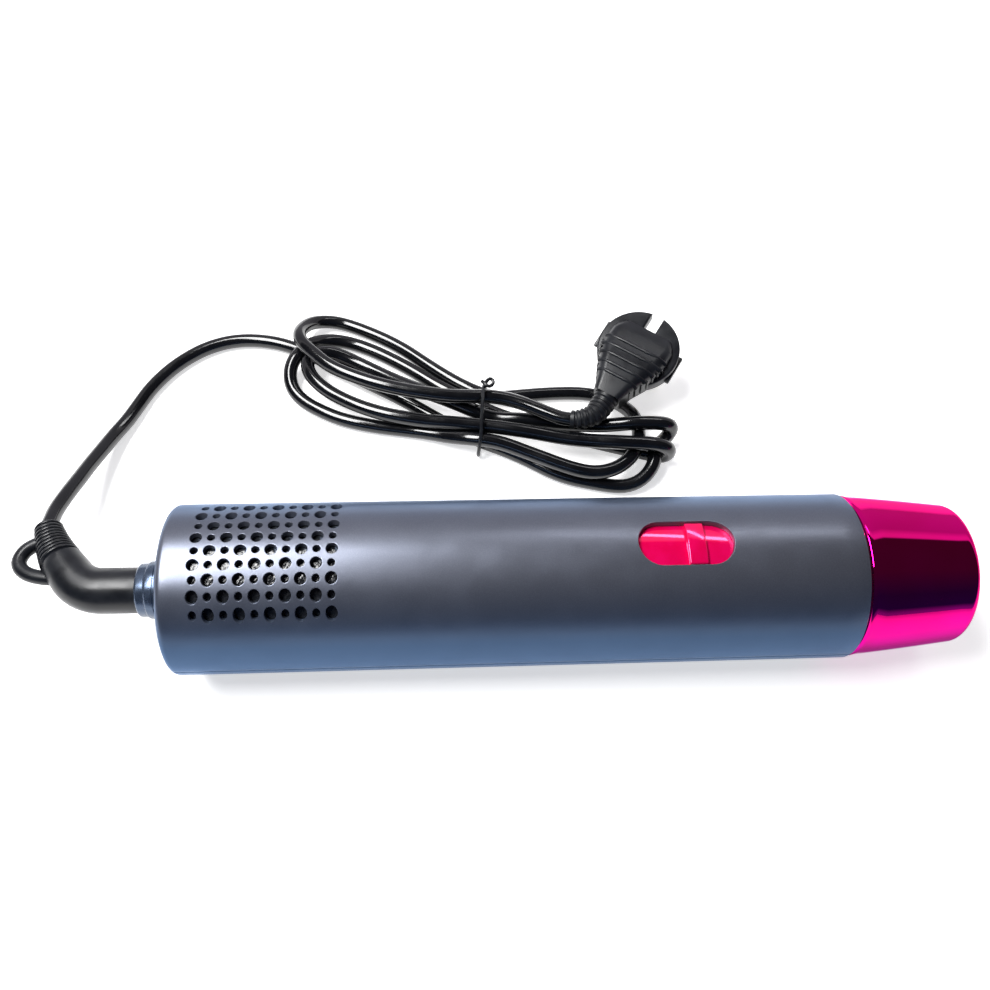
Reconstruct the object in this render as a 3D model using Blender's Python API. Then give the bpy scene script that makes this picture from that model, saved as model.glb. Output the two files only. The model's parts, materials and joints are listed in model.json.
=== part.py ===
"""Hot air brush handle with a swivel mains lead, a slide switch, a fan motor and a heater.

Run it with blender --background --python part.py, or from the Text Editor.
The handle lies on its side on z = 0, with its long axis along X and the air outlet at +X.
"""

import math

import bmesh
import bpy
from mathutils import Matrix, Vector

MM = 0.001
GAP = 0.3 * MM  # clearance between pieces that seat in or on each other

# Body tube
BODY_RADIUS = 30 * MM
BODY_LENGTH = 237.4 * MM
WALL = 2.2 * MM
REAR_WALL = 3.0 * MM
EDGE_ROUND = 2.6 * MM
PARTING_DROP = 2.6 * MM  # the shells part this far below the axis

# Air inlet vents: a straight pull grid, large and small holes in turn
VENT_PITCH = 4.96 * MM
VENT_COLUMNS = 10
VENT_ROWS = 9
VENT_START = 12.5 * MM  # first column, from the rear face
VENT_LARGE = 2.0 * MM  # radius
VENT_SMALL = 1.3 * MM
VENT_SIDES = 6

# Switch window and slider
WINDOW_SETBACK = 61.8 * MM  # from the nozzle end of the body
WINDOW_LENGTH = 33 * MM
WINDOW_WIDTH = 16.4 * MM
SLIDER_OFFSET = 3.6 * MM  # centre of the thumb ridge, with the switch off, ahead of the window's
SLIDER_TRAVEL = 8 * MM
SLIDER_THICKNESS = 1.6 * MM
SLIDER_LAP = 1.5 * MM  # how far the plate reaches past the window
RIDGE_LENGTH = 6.4 * MM
RIDGE_HEIGHT = 1.9 * MM

# Nozzle
NOZZLE_LENGTH = 42 * MM
NOZZLE_BACK_RADIUS = 29.3 * MM
NOZZLE_FRONT_RADIUS = 25.0 * MM
NOZZLE_ROUND = 3.4 * MM
OUTLET_RADIUS = 19.0 * MM
SPIGOT_LENGTH = 10 * MM

# Swivel and cord elbow
COLLAR_LENGTH = 12.5 * MM
COLLAR_RADIUS = 10.2 * MM
SPINDLE_RADIUS = 8.1 * MM
FLANGE_RADIUS = 13 * MM
FLANGE_THICKNESS = 3 * MM
CLIP_THICKNESS = 1.0 * MM
ELBOW_STRAIGHT = 25.5 * MM  # behind the rear face
ELBOW_BEND = 15 * MM
ELBOW_ANGLE = math.radians(48)
ELBOW_NECK = 8.5 * MM
RELIEF_TURN = math.radians(20)  # further turn along the neck and the ribs
RIB_COUNT = 10
RIB_PITCH = 1.75 * MM
RIB_DROP = math.radians(9)
RELIEF_START = 7.2 * MM  # radius
RELIEF_END = 5.0 * MM
LOOP_RADIUS = 2.6 * MM

# Fan, motor and heater
DUCT_START = 60 * MM
DUCT_LENGTH = 44 * MM
DUCT_RADIUS = 24.4 * MM
DUCT_WALL = 1.8 * MM
MOTOR_RADIUS = 13.3 * MM
MOTOR_LENGTH = 30 * MM
SHAFT_RADIUS = 1.2 * MM
IMPELLER_START = 62 * MM
IMPELLER_LENGTH = 9 * MM
HUB_RADIUS = 7 * MM
BLADE_COUNT = 7
HEATER_SETBACK = 32.4 * MM  # from the nozzle end of the body
HEATER_LENGTH = 52 * MM
MICA_THICKNESS = 0.8 * MM
MICA_MARGIN = 4 * MM  # plate edges to the outlet's bore
MICA_TUBE_WALL = 0.7 * MM
MICA_TUBE_LAP = 8 * MM  # the tube runs this far past the plates in front
MICA_TUBE_TAIL = 5 * MM  # and this far behind them, short of the switch board
COIL_STAND_OFF = 1.1 * MM  # centre of the wire outside the plate edges
COIL_WIRE = 0.6 * MM
COIL_TURNS = 6
GRILLE_THICKNESS = 2.5 * MM

# Switch board
BOARD_LENGTH = 48 * MM
BOARD_WIDTH = 31 * MM
BOARD_THICKNESS = 1.6 * MM
BOARD_HEIGHT = 7 * MM  # top face above the axis
POST_RADIUS = 2.0 * MM
BOARD_POST_INSET = (4 * MM, 3 * MM)  # post centres from the board's ends and sides
SWITCH_LENGTH = 24 * MM
SWITCH_WIDTH = 11 * MM
SWITCH_HEIGHT = 8 * MM
LEVER_SIZE = 4 * MM
WIRE_RADIUS = 0.8 * MM

# Shell screws
SCREW_CLEAR = 14 * MM  # rear screw, from the fan duct
SCREW_BEHIND_BOARD = 8.6 * MM
SCREW_RADIUS = 1.4 * MM
SCREW_HEAD = 2.9 * MM
BOSS_RADIUS = 4.6 * MM
SCREW_SEAT = 12 * MM  # height of the seat under the head, above the lowest line of the body
SCREW_REACH = 12 * MM  # length in the upper boss

# Mains lead
CORD_RADIUS = 3 * MM
PLUG_RADIUS = 17.65 * MM
PLUG_RIM = 6.5 * MM
PLUG_TILT = math.radians(15)
PLUG_HEADING = math.radians(55)
PIN_LENGTH = 19 * MM
PIN_RADIUS = 2.4 * MM
PIN_SPACING = 19 * MM
RELIEF_STEPS = 8  # points of the plug's relief, 2 mm apart
HANK_HEIGHT = 12 * MM
TIE_WIDTH = 2.4 * MM
TIE_THICKNESS = 1.2 * MM
WAIST = {"x": 112, "half": 5, "low": 70, "high": 104}  # where the tie grips the hank, in mm

# Route of the lead, in mm: from the rear face, from the axis, above the table
LEAD_ROUTE = (
    (-50.8, 36.0, 23.6), (-49.4, 45.6, 20.0), (-47.8, 55.0, 16.0), (-46.5, 63.1, 12.5),
    (-44.8, 70.7, 9.5), (-41.9, 81.3, 6.0), (-38.1, 90.5, 4.2), (-34.9, 98.8, 3.4),
    (-31.6, 107.0, 3.2), (-27.0, 114.0, 3.2), (-22.1, 120.0, 3.2), (-16.7, 124.9, 3.2),
    (-11.4, 128.8, 3.2), (-5.6, 131.6, 3.2), (0.9, 133.6, 3.2), (7.9, 134.2, 3.2),
    (15.5, 133.6, 3.2), (24.6, 132.0, 3.2),
)
# Outline of the tied hank, in mm, round the two lobes and the waist between them
HANK_OUTLINE = (
    (25.2, 122), (25.2, 138), (38, 149), (62, 144), (88, 122),
    (WAIST["x"] - WAIST["half"], WAIST["high"]), (WAIST["x"] + WAIST["half"], WAIST["high"]),
    (136, 106), (154, 105), (172, 92), (196, 90), (199, 76), (186, 55), (170, 47), (152, 49), (132, 58),
    (WAIST["x"] + WAIST["half"], WAIST["low"]), (WAIST["x"] - WAIST["half"], WAIST["low"]),
    (84, 74), (50, 84), (32, 96), (25.2, 108),
)
# Route from the plug's neck to the tie, in mm
TAIL_ROUTE = (
    (157.4, 81.0, 17.8), (151.0, 79.4, 17.2), (143.5, 81.0, 16.4), (135.5, 85.2, 15.9),
    (127, 89.8, 15.5), (117, 93, 15.3),
)
# Hang loop, in mm from the end of the elbow's bend
HANG_LOOP = (
    (-10.9, 16.5, -1.6), (-15.9, 14.6, -1.5), (-19.6, 11.6, -1.2), (-20.7, 7.3, -0.9),
    (-18.4, 3.6, -0.6), (-13.9, 1.4, -0.4), (-7.9, 0.3, -0.2), (-2.4, 0.5, 0.0),
)

# Facets of the round pieces
RING_STEPS = 24
SHELL_STEPS = 40

# Derived places
AXIS_HEIGHT = BODY_RADIUS * math.cos(math.pi / SHELL_STEPS)  # the body rests on a facet
REAR_X = (COLLAR_LENGTH - BODY_LENGTH - NOZZLE_LENGTH) / 2
PARTING_Z = -PARTING_DROP
SHELL_BORE = BODY_RADIUS - WALL
BUSH_HOLE = COLLAR_RADIUS - GAP / 2
SPINDLE_END = REAR_WALL + GAP + FLANGE_THICKNESS + 3.2 * MM
SLIDER_RADIUS = SHELL_BORE - GAP
WINDOW_CENTRE = BODY_LENGTH - WINDOW_SETBACK
SLIDER_REST = WINDOW_CENTRE + SLIDER_OFFSET
HEATER_START = BODY_LENGTH - HEATER_SETBACK
MICA_HALF_WIDTH = OUTLET_RADIUS - MICA_MARGIN
COIL_RADIUS = MICA_HALF_WIDTH + COIL_STAND_OFF
SCREW_STATIONS = {
    "rear": DUCT_START + DUCT_LENGTH + SCREW_CLEAR,
    "front": WINDOW_CENTRE - BOARD_LENGTH / 2 - SCREW_BEHIND_BOARD,
}


def clear_scene():
    for item in list(bpy.data.objects):
        bpy.data.objects.remove(item)


def finish(name, colour, roughness, metallic=0.0):
    made = bpy.data.materials.new(name)
    made.use_nodes = True
    shader = made.node_tree.nodes["Principled BSDF"]
    shader.inputs["Base Color"].default_value = (*colour, 1)
    shader.inputs["Roughness"].default_value = roughness
    shader.inputs["Metallic"].default_value = metallic
    return made


def finishes():
    return {
        "body_paint": finish("body_paint", (0.12, 0.12, 0.15), 0.34, 0.75),
        "magenta_chrome": finish("magenta_chrome", (0.72, 0.0, 0.13), 0.12, 1.0),
        "black_plastic": finish("black_plastic", (0.02, 0.021, 0.024), 0.45),
        "cord_rubber": finish("cord_rubber", (0.012, 0.012, 0.014), 0.22),
        "white_nylon": finish("white_nylon", (0.72, 0.71, 0.67), 0.5),
        "steel": finish("steel", (0.55, 0.55, 0.56), 0.3, 1.0),
        "brass": finish("brass", (0.71, 0.5, 0.2), 0.28, 1.0),
        "mica": finish("mica", (0.62, 0.52, 0.36), 0.4),
        "heating_wire": finish("heating_wire", (0.36, 0.33, 0.3), 0.4, 1.0),
        "board": finish("board", (0.32, 0.2, 0.08), 0.55),
        "wire_red": finish("wire_red", (0.5, 0.02, 0.02), 0.5),
        "wire_blue": finish("wire_blue", (0.02, 0.06, 0.4), 0.5),
    }


def empty(name, location, rotation=(0, 0, 0), parent=None):
    frame = bpy.data.objects.new(name, None)
    bpy.context.scene.collection.objects.link(frame)
    frame.location = location
    frame.rotation_euler = rotation
    frame.parent = parent
    return frame


def place(name, mesh, coat, parent, location=(0, 0, 0), rotation=(0, 0, 0)):
    piece = bpy.data.objects.new(name, mesh)
    bpy.context.scene.collection.objects.link(piece)
    piece.location = location
    piece.rotation_euler = rotation
    piece.parent = parent
    if coat:
        mesh.materials.append(coat)
    return piece


def mesh_of(bm, name):
    bmesh.ops.remove_doubles(bm, verts=bm.verts, dist=1e-6)
    bmesh.ops.recalc_face_normals(bm, faces=bm.faces)
    mesh = bpy.data.meshes.new(name)
    bm.to_mesh(mesh)
    bm.free()
    mesh.shade_smooth()
    mesh.set_sharp_from_angle(angle=math.radians(32))
    return mesh


def arc(centre, radius, start, end, count):
    """Points of an arc, angles in degrees."""
    angles = [math.radians(start + (end - start) * i / count) for i in range(count + 1)]
    return [(centre[0] + radius * math.cos(a), centre[1] + radius * math.sin(a)) for a in angles]


def turned(name, profile, steps=RING_STEPS, axis=(1, 0, 0)):
    """A profile of (along, radius) points spun a full turn about its own X or Z axis."""
    bm = bmesh.new()
    if axis[0]:
        verts = [bm.verts.new((along, 0, radius)) for along, radius in profile]
    else:
        verts = [bm.verts.new((radius, 0, along)) for along, radius in profile]
    pairs = list(zip(verts, verts[1:]))
    if min(radius for _, radius in profile) > 0:
        pairs.append((verts[-1], verts[0]))
    edges = [bm.edges.new(pair) for pair in pairs]
    half_step = Matrix.Rotation(math.pi / steps, 3, Vector(axis))
    bmesh.ops.rotate(bm, verts=verts, cent=(0, 0, 0), matrix=half_step)
    bmesh.ops.spin(
        bm, geom=verts + edges, cent=(0, 0, 0), axis=axis, angle=math.tau, steps=steps, use_merge=True
    )
    return mesh_of(bm, name)


def ring_profile(start, end, inner, outer):
    return [(start, inner), (start, outer), (end, outer), (end, inner)]


def rod_profile(start, end, radius):
    return [(start, 0), (start, radius), (end, radius), (end, 0)]


def prism(name, outline, start, end, normal="Z"):
    """A flat outline extruded along Z from start to end, or along X or Y if normal says so."""
    bm = bmesh.new()
    face = bm.faces.new([bm.verts.new((x, y, start)) for x, y in outline])
    grown = bmesh.ops.extrude_face_region(bm, geom=[face])
    tops = [item for item in grown["geom"] if isinstance(item, bmesh.types.BMVert)]
    bmesh.ops.translate(bm, verts=tops, vec=(0, 0, end - start))
    if normal == "X":
        bm.transform(Matrix(((0, 0, 1, 0), (1, 0, 0, 0), (0, 1, 0, 0), (0, 0, 0, 1))))
    if normal == "Y":
        bm.transform(Matrix(((1, 0, 0, 0), (0, 0, -1, 0), (0, 1, 0, 0), (0, 0, 0, 1))))
    return mesh_of(bm, name)


def add_box(bm, low, high, turn=Matrix.Identity(4)):
    middle = (Vector(low) + Vector(high)) / 2
    size = Vector(high) - Vector(low)
    matrix = turn @ Matrix.Translation(middle) @ Matrix.Diagonal((*size, 1))
    bmesh.ops.create_cube(bm, size=1, matrix=matrix)


def boxes(name, *spans):
    """One mesh of boxes, each given as (low corner, high corner) or with a matrix that turns it."""
    bm = bmesh.new()
    for span in spans:
        add_box(bm, *span)
    return mesh_of(bm, name)


def cylinders(name, rods, sides):
    """One mesh of upright rods, each (x, y, radius, bottom, top)."""
    bm = bmesh.new()
    for x, y, radius, bottom, top in rods:
        matrix = Matrix.Translation((x, y, (bottom + top) / 2))
        bmesh.ops.create_cone(
            bm, cap_ends=True, segments=sides, radius1=radius, radius2=radius,
            depth=top - bottom, matrix=matrix,
        )
    return mesh_of(bm, name)


def combine(piece, mesh, operation):
    """Joins, cuts or trims a piece with a mesh given in the piece's own space."""
    tool = place(mesh.name, mesh, None, piece)
    tool.hide_render = True
    tool.display_type = "WIRE"
    modifier = piece.modifiers.new(mesh.name, "BOOLEAN")
    modifier.operation = operation
    modifier.object = tool
    return piece


def smooth_route(points, spacing):
    """Points at an even spacing along a Catmull-Rom curve through the route's points."""
    ends = [points[0] * 2 - points[1], *points, points[-1] * 2 - points[-2]]
    dense = []
    for a, b, c, d in zip(ends, ends[1:], ends[2:], ends[3:]):
        for i in range(12):
            t = i / 12
            dense.append(
                (b * 2 + (c - a) * t + (a * 2 - b * 5 + c * 4 - d) * t**2 + (b * 3 - a - c * 3 + d) * t**3)
                / 2
            )
    dense.append(points[-1])
    lengths = [0.0]
    for a, b in zip(dense, dense[1:]):
        lengths.append(lengths[-1] + (b - a).length)
    count = max(2, round(lengths[-1] / spacing))
    spaced = []
    index = 0
    for step in range(count + 1):
        target = lengths[-1] * step / count
        while index < len(dense) - 2 and lengths[index + 1] < target:
            index += 1
        share = (target - lengths[index]) / (lengths[index + 1] - lengths[index])
        spaced.append(dense[index].lerp(dense[index + 1], share))
    return spaced


def tube(name, points, radius, coat, parent, scales=None, resolution=2):
    curve = bpy.data.curves.new(name, "CURVE")
    curve.dimensions = "3D"
    curve.bevel_depth = radius
    curve.bevel_resolution = resolution
    curve.use_fill_caps = True
    spline = curve.splines.new("POLY")
    spline.points.add(len(points) - 1)
    for index, point in enumerate(points):
        spline.points[index].co = (*point, 1)
        spline.points[index].radius = scales[index] if scales else 1.0
    piece = bpy.data.objects.new(name, curve)
    bpy.context.scene.collection.objects.link(piece)
    piece.parent = parent
    if coat:
        curve.materials.append(coat)
    return piece


def solid_tube(name, points, radius, scales=None, resolution=3):
    """The closed mesh of a tube, for joining to another piece."""
    source = tube(name, points, radius, None, None, scales, resolution)
    bpy.context.view_layer.update()
    seen = source.evaluated_get(bpy.context.evaluated_depsgraph_get())
    bm = bmesh.new()
    bm.from_mesh(bpy.data.meshes.new_from_object(seen))
    bpy.data.objects.remove(source)
    return mesh_of(bm, name)


# ---------------------------------------------------------------- shells


def shell_profile():
    edge = arc((EDGE_ROUND, BODY_RADIUS - EDGE_ROUND), EDGE_ROUND, 180, 90, 4)
    return [
        (0, BUSH_HOLE), *edge, (BODY_LENGTH, BODY_RADIUS), (BODY_LENGTH, SHELL_BORE),
        (REAR_WALL, SHELL_BORE), (REAR_WALL, BUSH_HOLE),
    ]


def vent_rods(upward):
    """Straight pull prisms for the vent grid, above or below the parting plane."""
    rods = []
    for column in range(VENT_COLUMNS):
        for row in range(VENT_ROWS):
            x = VENT_START + column * VENT_PITCH
            y = ((VENT_ROWS - 1) / 2 - row) * VENT_PITCH
            radius = VENT_LARGE if (column + row) % 2 else VENT_SMALL
            span = (BODY_RADIUS * 0.45, BODY_RADIUS * 1.1)
            rods.append((x, y, radius, *(span if upward else (-span[1], -span[0]))))
    return rods


def stadium(length, width, centre_x=0.0, count=8):
    half = length / 2 - width / 2
    return arc((centre_x + half, 0), width / 2, -90, 90, count) + arc(
        (centre_x - half, 0), width / 2, 90, 270, count
    )


def half_block(name, low, high):
    reach = BODY_RADIUS * 1.5
    return boxes(name, ((-reach, -reach, low), (BODY_LENGTH + reach, reach, high)))


def board_post_places():
    along, across = BOARD_LENGTH / 2 - BOARD_POST_INSET[0], BOARD_WIDTH / 2 - BOARD_POST_INSET[1]
    return [(WINDOW_CENTRE - along, across), (WINDOW_CENTRE + along, -across)]


def post_top(across):
    """A height inside the shell's wall over the whole width of a post."""
    near, far = abs(across) - POST_RADIUS, abs(across) + POST_RADIUS
    return (math.sqrt(SHELL_BORE**2 - near**2) + math.sqrt(BODY_RADIUS**2 - far**2)) / 2


def upper_shell(coat, axis):
    shell = place("upper_shell", turned("upper_shell", shell_profile(), SHELL_STEPS), coat, axis)
    lowest = PARTING_Z + GAP / 2
    combine(shell, half_block("upper_trim", -2 * BODY_RADIUS, lowest), "DIFFERENCE")
    top = SHELL_BORE + WALL / 2
    posts = [(x, y, POST_RADIUS, BOARD_HEIGHT + GAP, post_top(y)) for x, y in board_post_places()]
    bosses = [(x, 0, BOSS_RADIUS, lowest, top) for x in SCREW_STATIONS.values()]
    combine(shell, cylinders("upper_posts", posts + bosses, 16), "UNION")
    bore = SCREW_RADIUS + GAP
    holes = [(x, 0, bore, lowest - MM, lowest + SCREW_REACH + MM) for x in SCREW_STATIONS.values()]
    holes += [(x, y, bore, BOARD_HEIGHT - MM, BOARD_HEIGHT + 8 * MM) for x, y in board_post_places()]
    combine(shell, cylinders("upper_screw_holes", holes, 12), "DIFFERENCE")
    window = prism("window_cut", stadium(WINDOW_LENGTH, WINDOW_WIDTH, WINDOW_CENTRE), 0, 2 * BODY_RADIUS)
    combine(shell, window, "DIFFERENCE")
    combine(shell, cylinders("upper_vents", vent_rods(True), VENT_SIDES), "DIFFERENCE")
    return shell


def lower_shell(coat, axis):
    shell = place("lower_shell", turned("lower_shell", shell_profile(), SHELL_STEPS), coat, axis)
    highest = PARTING_Z - GAP / 2
    combine(shell, half_block("lower_trim", highest, 2 * BODY_RADIUS), "DIFFERENCE")
    bottom = -SHELL_BORE - WALL / 2
    bosses = [(x, 0, BOSS_RADIUS, bottom, highest) for x in SCREW_STATIONS.values()]
    combine(shell, cylinders("lower_bosses", bosses, 16), "UNION")
    seat = SCREW_SEAT - BODY_RADIUS
    holes = [(x, 0, SCREW_HEAD + GAP, -2 * BODY_RADIUS, seat) for x in SCREW_STATIONS.values()]
    combine(shell, cylinders("lower_counterbores", holes, 12), "DIFFERENCE")
    holes = [(x, 0, SCREW_RADIUS + GAP, seat - MM, highest + MM) for x in SCREW_STATIONS.values()]
    combine(shell, cylinders("lower_screw_holes", holes, 12), "DIFFERENCE")
    combine(shell, cylinders("lower_vents", vent_rods(False), VENT_SIDES), "DIFFERENCE")
    return shell


def shell_screws(coat, axis):
    seat = SCREW_SEAT - BODY_RADIUS
    for name, station in SCREW_STATIONS.items():
        profile = [
            (seat - GAP - 2.2 * MM, 0), (seat - GAP - 2.2 * MM, SCREW_HEAD), (seat - GAP, SCREW_HEAD),
            (seat - GAP, SCREW_RADIUS), (PARTING_Z + SCREW_REACH, SCREW_RADIUS), (PARTING_Z + SCREW_REACH, 0),
        ]
        mesh = turned("shell_screw", profile, 12, (0, 0, 1))
        place(f"shell_screw_{name}", mesh, coat, axis, (station, 0, 0))


# ---------------------------------------------------------------- nozzle and outlet


def nozzle(coat, axis):
    slope = (NOZZLE_FRONT_RADIUS - NOZZLE_BACK_RADIUS) / NOZZLE_LENGTH
    face = NOZZLE_LENGTH
    cone_end = face - NOZZLE_ROUND
    shoulder = 1.4 * MM
    round_radius = NOZZLE_BACK_RADIUS + slope * cone_end
    tip = arc((cone_end, round_radius - NOZZLE_ROUND), NOZZLE_ROUND, 90, 0, 4)
    neck = SHELL_BORE - GAP
    groove = NOZZLE_BACK_RADIUS - 0.9 * MM
    profile = [
        (-SPIGOT_LENGTH, neck - 2 * MM), (-SPIGOT_LENGTH, neck), (GAP, neck), (GAP, groove),
        (shoulder - 0.5 * MM, groove), (shoulder, NOZZLE_BACK_RADIUS - 0.3 * MM),
        (shoulder + 0.8 * MM, NOZZLE_BACK_RADIUS), *tip, (face, OUTLET_RADIUS), (6 * MM, OUTLET_RADIUS),
        (2 * MM, neck - 2 * MM),
    ]
    place("nozzle", turned("nozzle", profile, SHELL_STEPS), coat, axis, (BODY_LENGTH, 0, 0))


def outlet_grille(coat, axis):
    radius = OUTLET_RADIUS - GAP
    start = HEATER_START + HEATER_LENGTH + MICA_TUBE_LAP + GAP
    outer = turned("outlet_grille", ring_profile(0, GRILLE_THICKNESS, radius - 1.6 * MM, radius))
    grille = place("outlet_grille", outer, coat, axis, (start, 0, 0))
    bars = [
        ((0.2 * MM, -0.6 * MM, 3.2 * MM), (GRILLE_THICKNESS - 0.2 * MM, 0.6 * MM, radius - 0.8 * MM),
         Matrix.Rotation(math.tau * i / 6, 4, "X"))
        for i in range(6)
    ]
    combine(grille, boxes("grille_bars", *bars), "UNION")
    combine(grille, turned("grille_hub", rod_profile(0.1 * MM, GRILLE_THICKNESS - 0.1 * MM, 4 * MM)), "UNION")
    middle = ring_profile(0.4 * MM, GRILLE_THICKNESS - 0.4 * MM, radius * 0.58, radius * 0.58 + 1.3 * MM)
    combine(grille, turned("grille_middle", middle), "UNION")


# ---------------------------------------------------------------- switch


def slider_plate_outline(radius_out, radius_in, half_width):
    """Cross-section of the curved plate, in Y and Z about the body axis."""
    reach = math.degrees(math.asin(half_width / radius_out))
    outer = arc((0, 0), radius_out, 90 - reach, 90 + reach, 10)
    inner = arc((0, 0), radius_in, 90 + reach, 90 - reach, 10)
    return outer + inner


def switch_slider(coat, axis):
    """The plate under the window with its thumb ridge and the fork that carries the switch lever."""
    origin = (SLIDER_REST, 0, 0)
    inner = SLIDER_RADIUS - SLIDER_THICKNESS
    half_width = WINDOW_WIDTH / 2 + SLIDER_LAP
    reach = WINDOW_LENGTH / 2 + SLIDER_TRAVEL / 2 + SLIDER_LAP
    shift = WINDOW_CENTRE - SLIDER_REST + SLIDER_TRAVEL / 2
    outline = slider_plate_outline(SLIDER_RADIUS, inner, half_width)
    plate = prism("switch_slider", outline, shift - reach, shift + reach, "X")
    slider = place("switch_slider", plate, coat, axis, origin)
    ridge_width = WINDOW_WIDTH / 2 - 0.5 * MM
    outline = slider_plate_outline(SLIDER_RADIUS + RIDGE_HEIGHT, inner + 0.4 * MM, ridge_width)
    combine(slider, prism("thumb_ridge", outline, -RIDGE_LENGTH / 2, RIDGE_LENGTH / 2, "X"), "UNION")
    fork_bottom = BOARD_HEIGHT + SWITCH_HEIGHT + 2 * MM
    near = LEVER_SIZE / 2 + GAP
    fork = boxes(
        "lever_fork",
        ((near, -3 * MM, fork_bottom), (near + 1.6 * MM, 3 * MM, inner + 0.6 * MM)),
        ((-near - 1.6 * MM, -3 * MM, fork_bottom), (-near, 3 * MM, inner + 0.6 * MM)),
    )
    combine(slider, fork, "UNION")


def switch_unit(coats, axis):
    board = boxes(
        "switch_board",
        ((-BOARD_LENGTH / 2, -BOARD_WIDTH / 2, -BOARD_THICKNESS), (BOARD_LENGTH / 2, BOARD_WIDTH / 2, 0)),
    )
    board = place("switch_board", board, coats["board"], axis, (WINDOW_CENTRE, 0, BOARD_HEIGHT))
    holes = [
        (x - WINDOW_CENTRE, y, SCREW_RADIUS + GAP, -3 * MM, 3 * MM) for x, y in board_post_places()
    ]
    combine(board, cylinders("board_holes", holes, 12), "DIFFERENCE")
    under = -BOARD_THICKNESS - GAP
    screw = [
        (under - 1.6 * MM, 0), (under - 1.6 * MM, 2.6 * MM), (under, 2.6 * MM), (under, SCREW_RADIUS),
        (7 * MM, SCREW_RADIUS), (7 * MM, 0),
    ]
    for name, (x, y) in zip(("rear", "front"), board_post_places()):
        mesh = turned("board_screw", screw, 12, (0, 0, 1))
        place(f"board_screw_{name}", mesh, coats["steel"], axis, (x, y, BOARD_HEIGHT))
    body = boxes(
        "switch_body",
        ((-SWITCH_LENGTH / 2, -SWITCH_WIDTH / 2, GAP), (SWITCH_LENGTH / 2, SWITCH_WIDTH / 2, SWITCH_HEIGHT)),
    )
    body = place("switch_body", body, coats["black_plastic"], axis, (WINDOW_CENTRE, 0, BOARD_HEIGHT))
    slot_reach = SLIDER_TRAVEL / 2 + LEVER_SIZE / 2 + 1.2 * MM
    slot = boxes(
        "lever_slot",
        ((-slot_reach, -LEVER_SIZE / 2 - GAP, SWITCH_HEIGHT - 2.2 * MM),
         (slot_reach, LEVER_SIZE / 2 + GAP, SWITCH_HEIGHT + MM)),
    )
    slot.transform(Matrix.Translation((SLIDER_REST - SLIDER_TRAVEL / 2 - WINDOW_CENTRE, 0, 0)))
    combine(body, slot, "DIFFERENCE")
    low = BOARD_HEIGHT + SWITCH_HEIGHT - 2.2 * MM + GAP
    lever = boxes(
        "switch_lever",
        ((-LEVER_SIZE / 2, -LEVER_SIZE / 2, low), (LEVER_SIZE / 2, LEVER_SIZE / 2, low + 8 * MM)),
    )
    place("switch_lever", lever, coats["white_nylon"], axis, (SLIDER_REST, 0, 0))


# ---------------------------------------------------------------- motor, fan and duct


def fan_duct(coat, axis):
    tube_mesh = turned("fan_duct", ring_profile(0, DUCT_LENGTH, DUCT_RADIUS - DUCT_WALL, DUCT_RADIUS), 36)
    duct = place("fan_duct", tube_mesh, coat, axis, (DUCT_START, 0, 0))
    seat_inner = MOTOR_RADIUS + GAP
    vanes = [
        ((15 * MM, -0.7 * MM, seat_inner + 0.8 * MM), (27 * MM, 0.7 * MM, DUCT_RADIUS - DUCT_WALL / 2),
         Matrix.Rotation(math.tau * i / 6, 4, "X"))
        for i in range(6)
    ]
    combine(duct, boxes("stator_vanes", *vanes), "UNION")
    seat = ring_profile(14 * MM, 30 * MM, seat_inner, seat_inner + 1.8 * MM)
    combine(duct, turned("motor_seat", seat), "UNION")
    lug_reach = SHELL_BORE - 0.4 * MM
    lugs = [
        ((at, -2 * MM, DUCT_RADIUS - DUCT_WALL / 2), (at + 6 * MM, 2 * MM, lug_reach - 0.1 * MM),
         Matrix.Rotation(math.radians(45 + 90 * i), 4, "X"))
        for i in range(4)
        for at in (2 * MM, DUCT_LENGTH - 8 * MM)
    ]
    combine(duct, boxes("duct_lugs", *lugs), "UNION")


def motor(coats, axis):
    start = DUCT_START + 14 * MM
    bore = SHAFT_RADIUS + GAP
    can = [
        (0, bore), (0, 4 * MM), (1.2 * MM, 4 * MM), (1.2 * MM, MOTOR_RADIUS - 1 * MM),
        (2.2 * MM, MOTOR_RADIUS), (MOTOR_LENGTH, MOTOR_RADIUS), (MOTOR_LENGTH, bore),
    ]
    place("motor_can", turned("motor_can", can), coats["steel"], axis, (start, 0, 0))
    cap = [
        (GAP, bore), (GAP, MOTOR_RADIUS - 0.4 * MM), (3.4 * MM, MOTOR_RADIUS - 0.4 * MM), (4.4 * MM, 5 * MM),
        (6 * MM, 5 * MM), (6 * MM, bore),
    ]
    cap_start = (start + MOTOR_LENGTH, 0, 0)
    place("motor_end_cap", turned("motor_end_cap", cap), coats["black_plastic"], axis, cap_start)
    shaft = rod_profile(IMPELLER_START - 1.5 * MM, start + MOTOR_LENGTH + 7 * MM, SHAFT_RADIUS)
    place("motor_shaft", turned("motor_shaft", shaft, 16), coats["steel"], axis)


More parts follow.
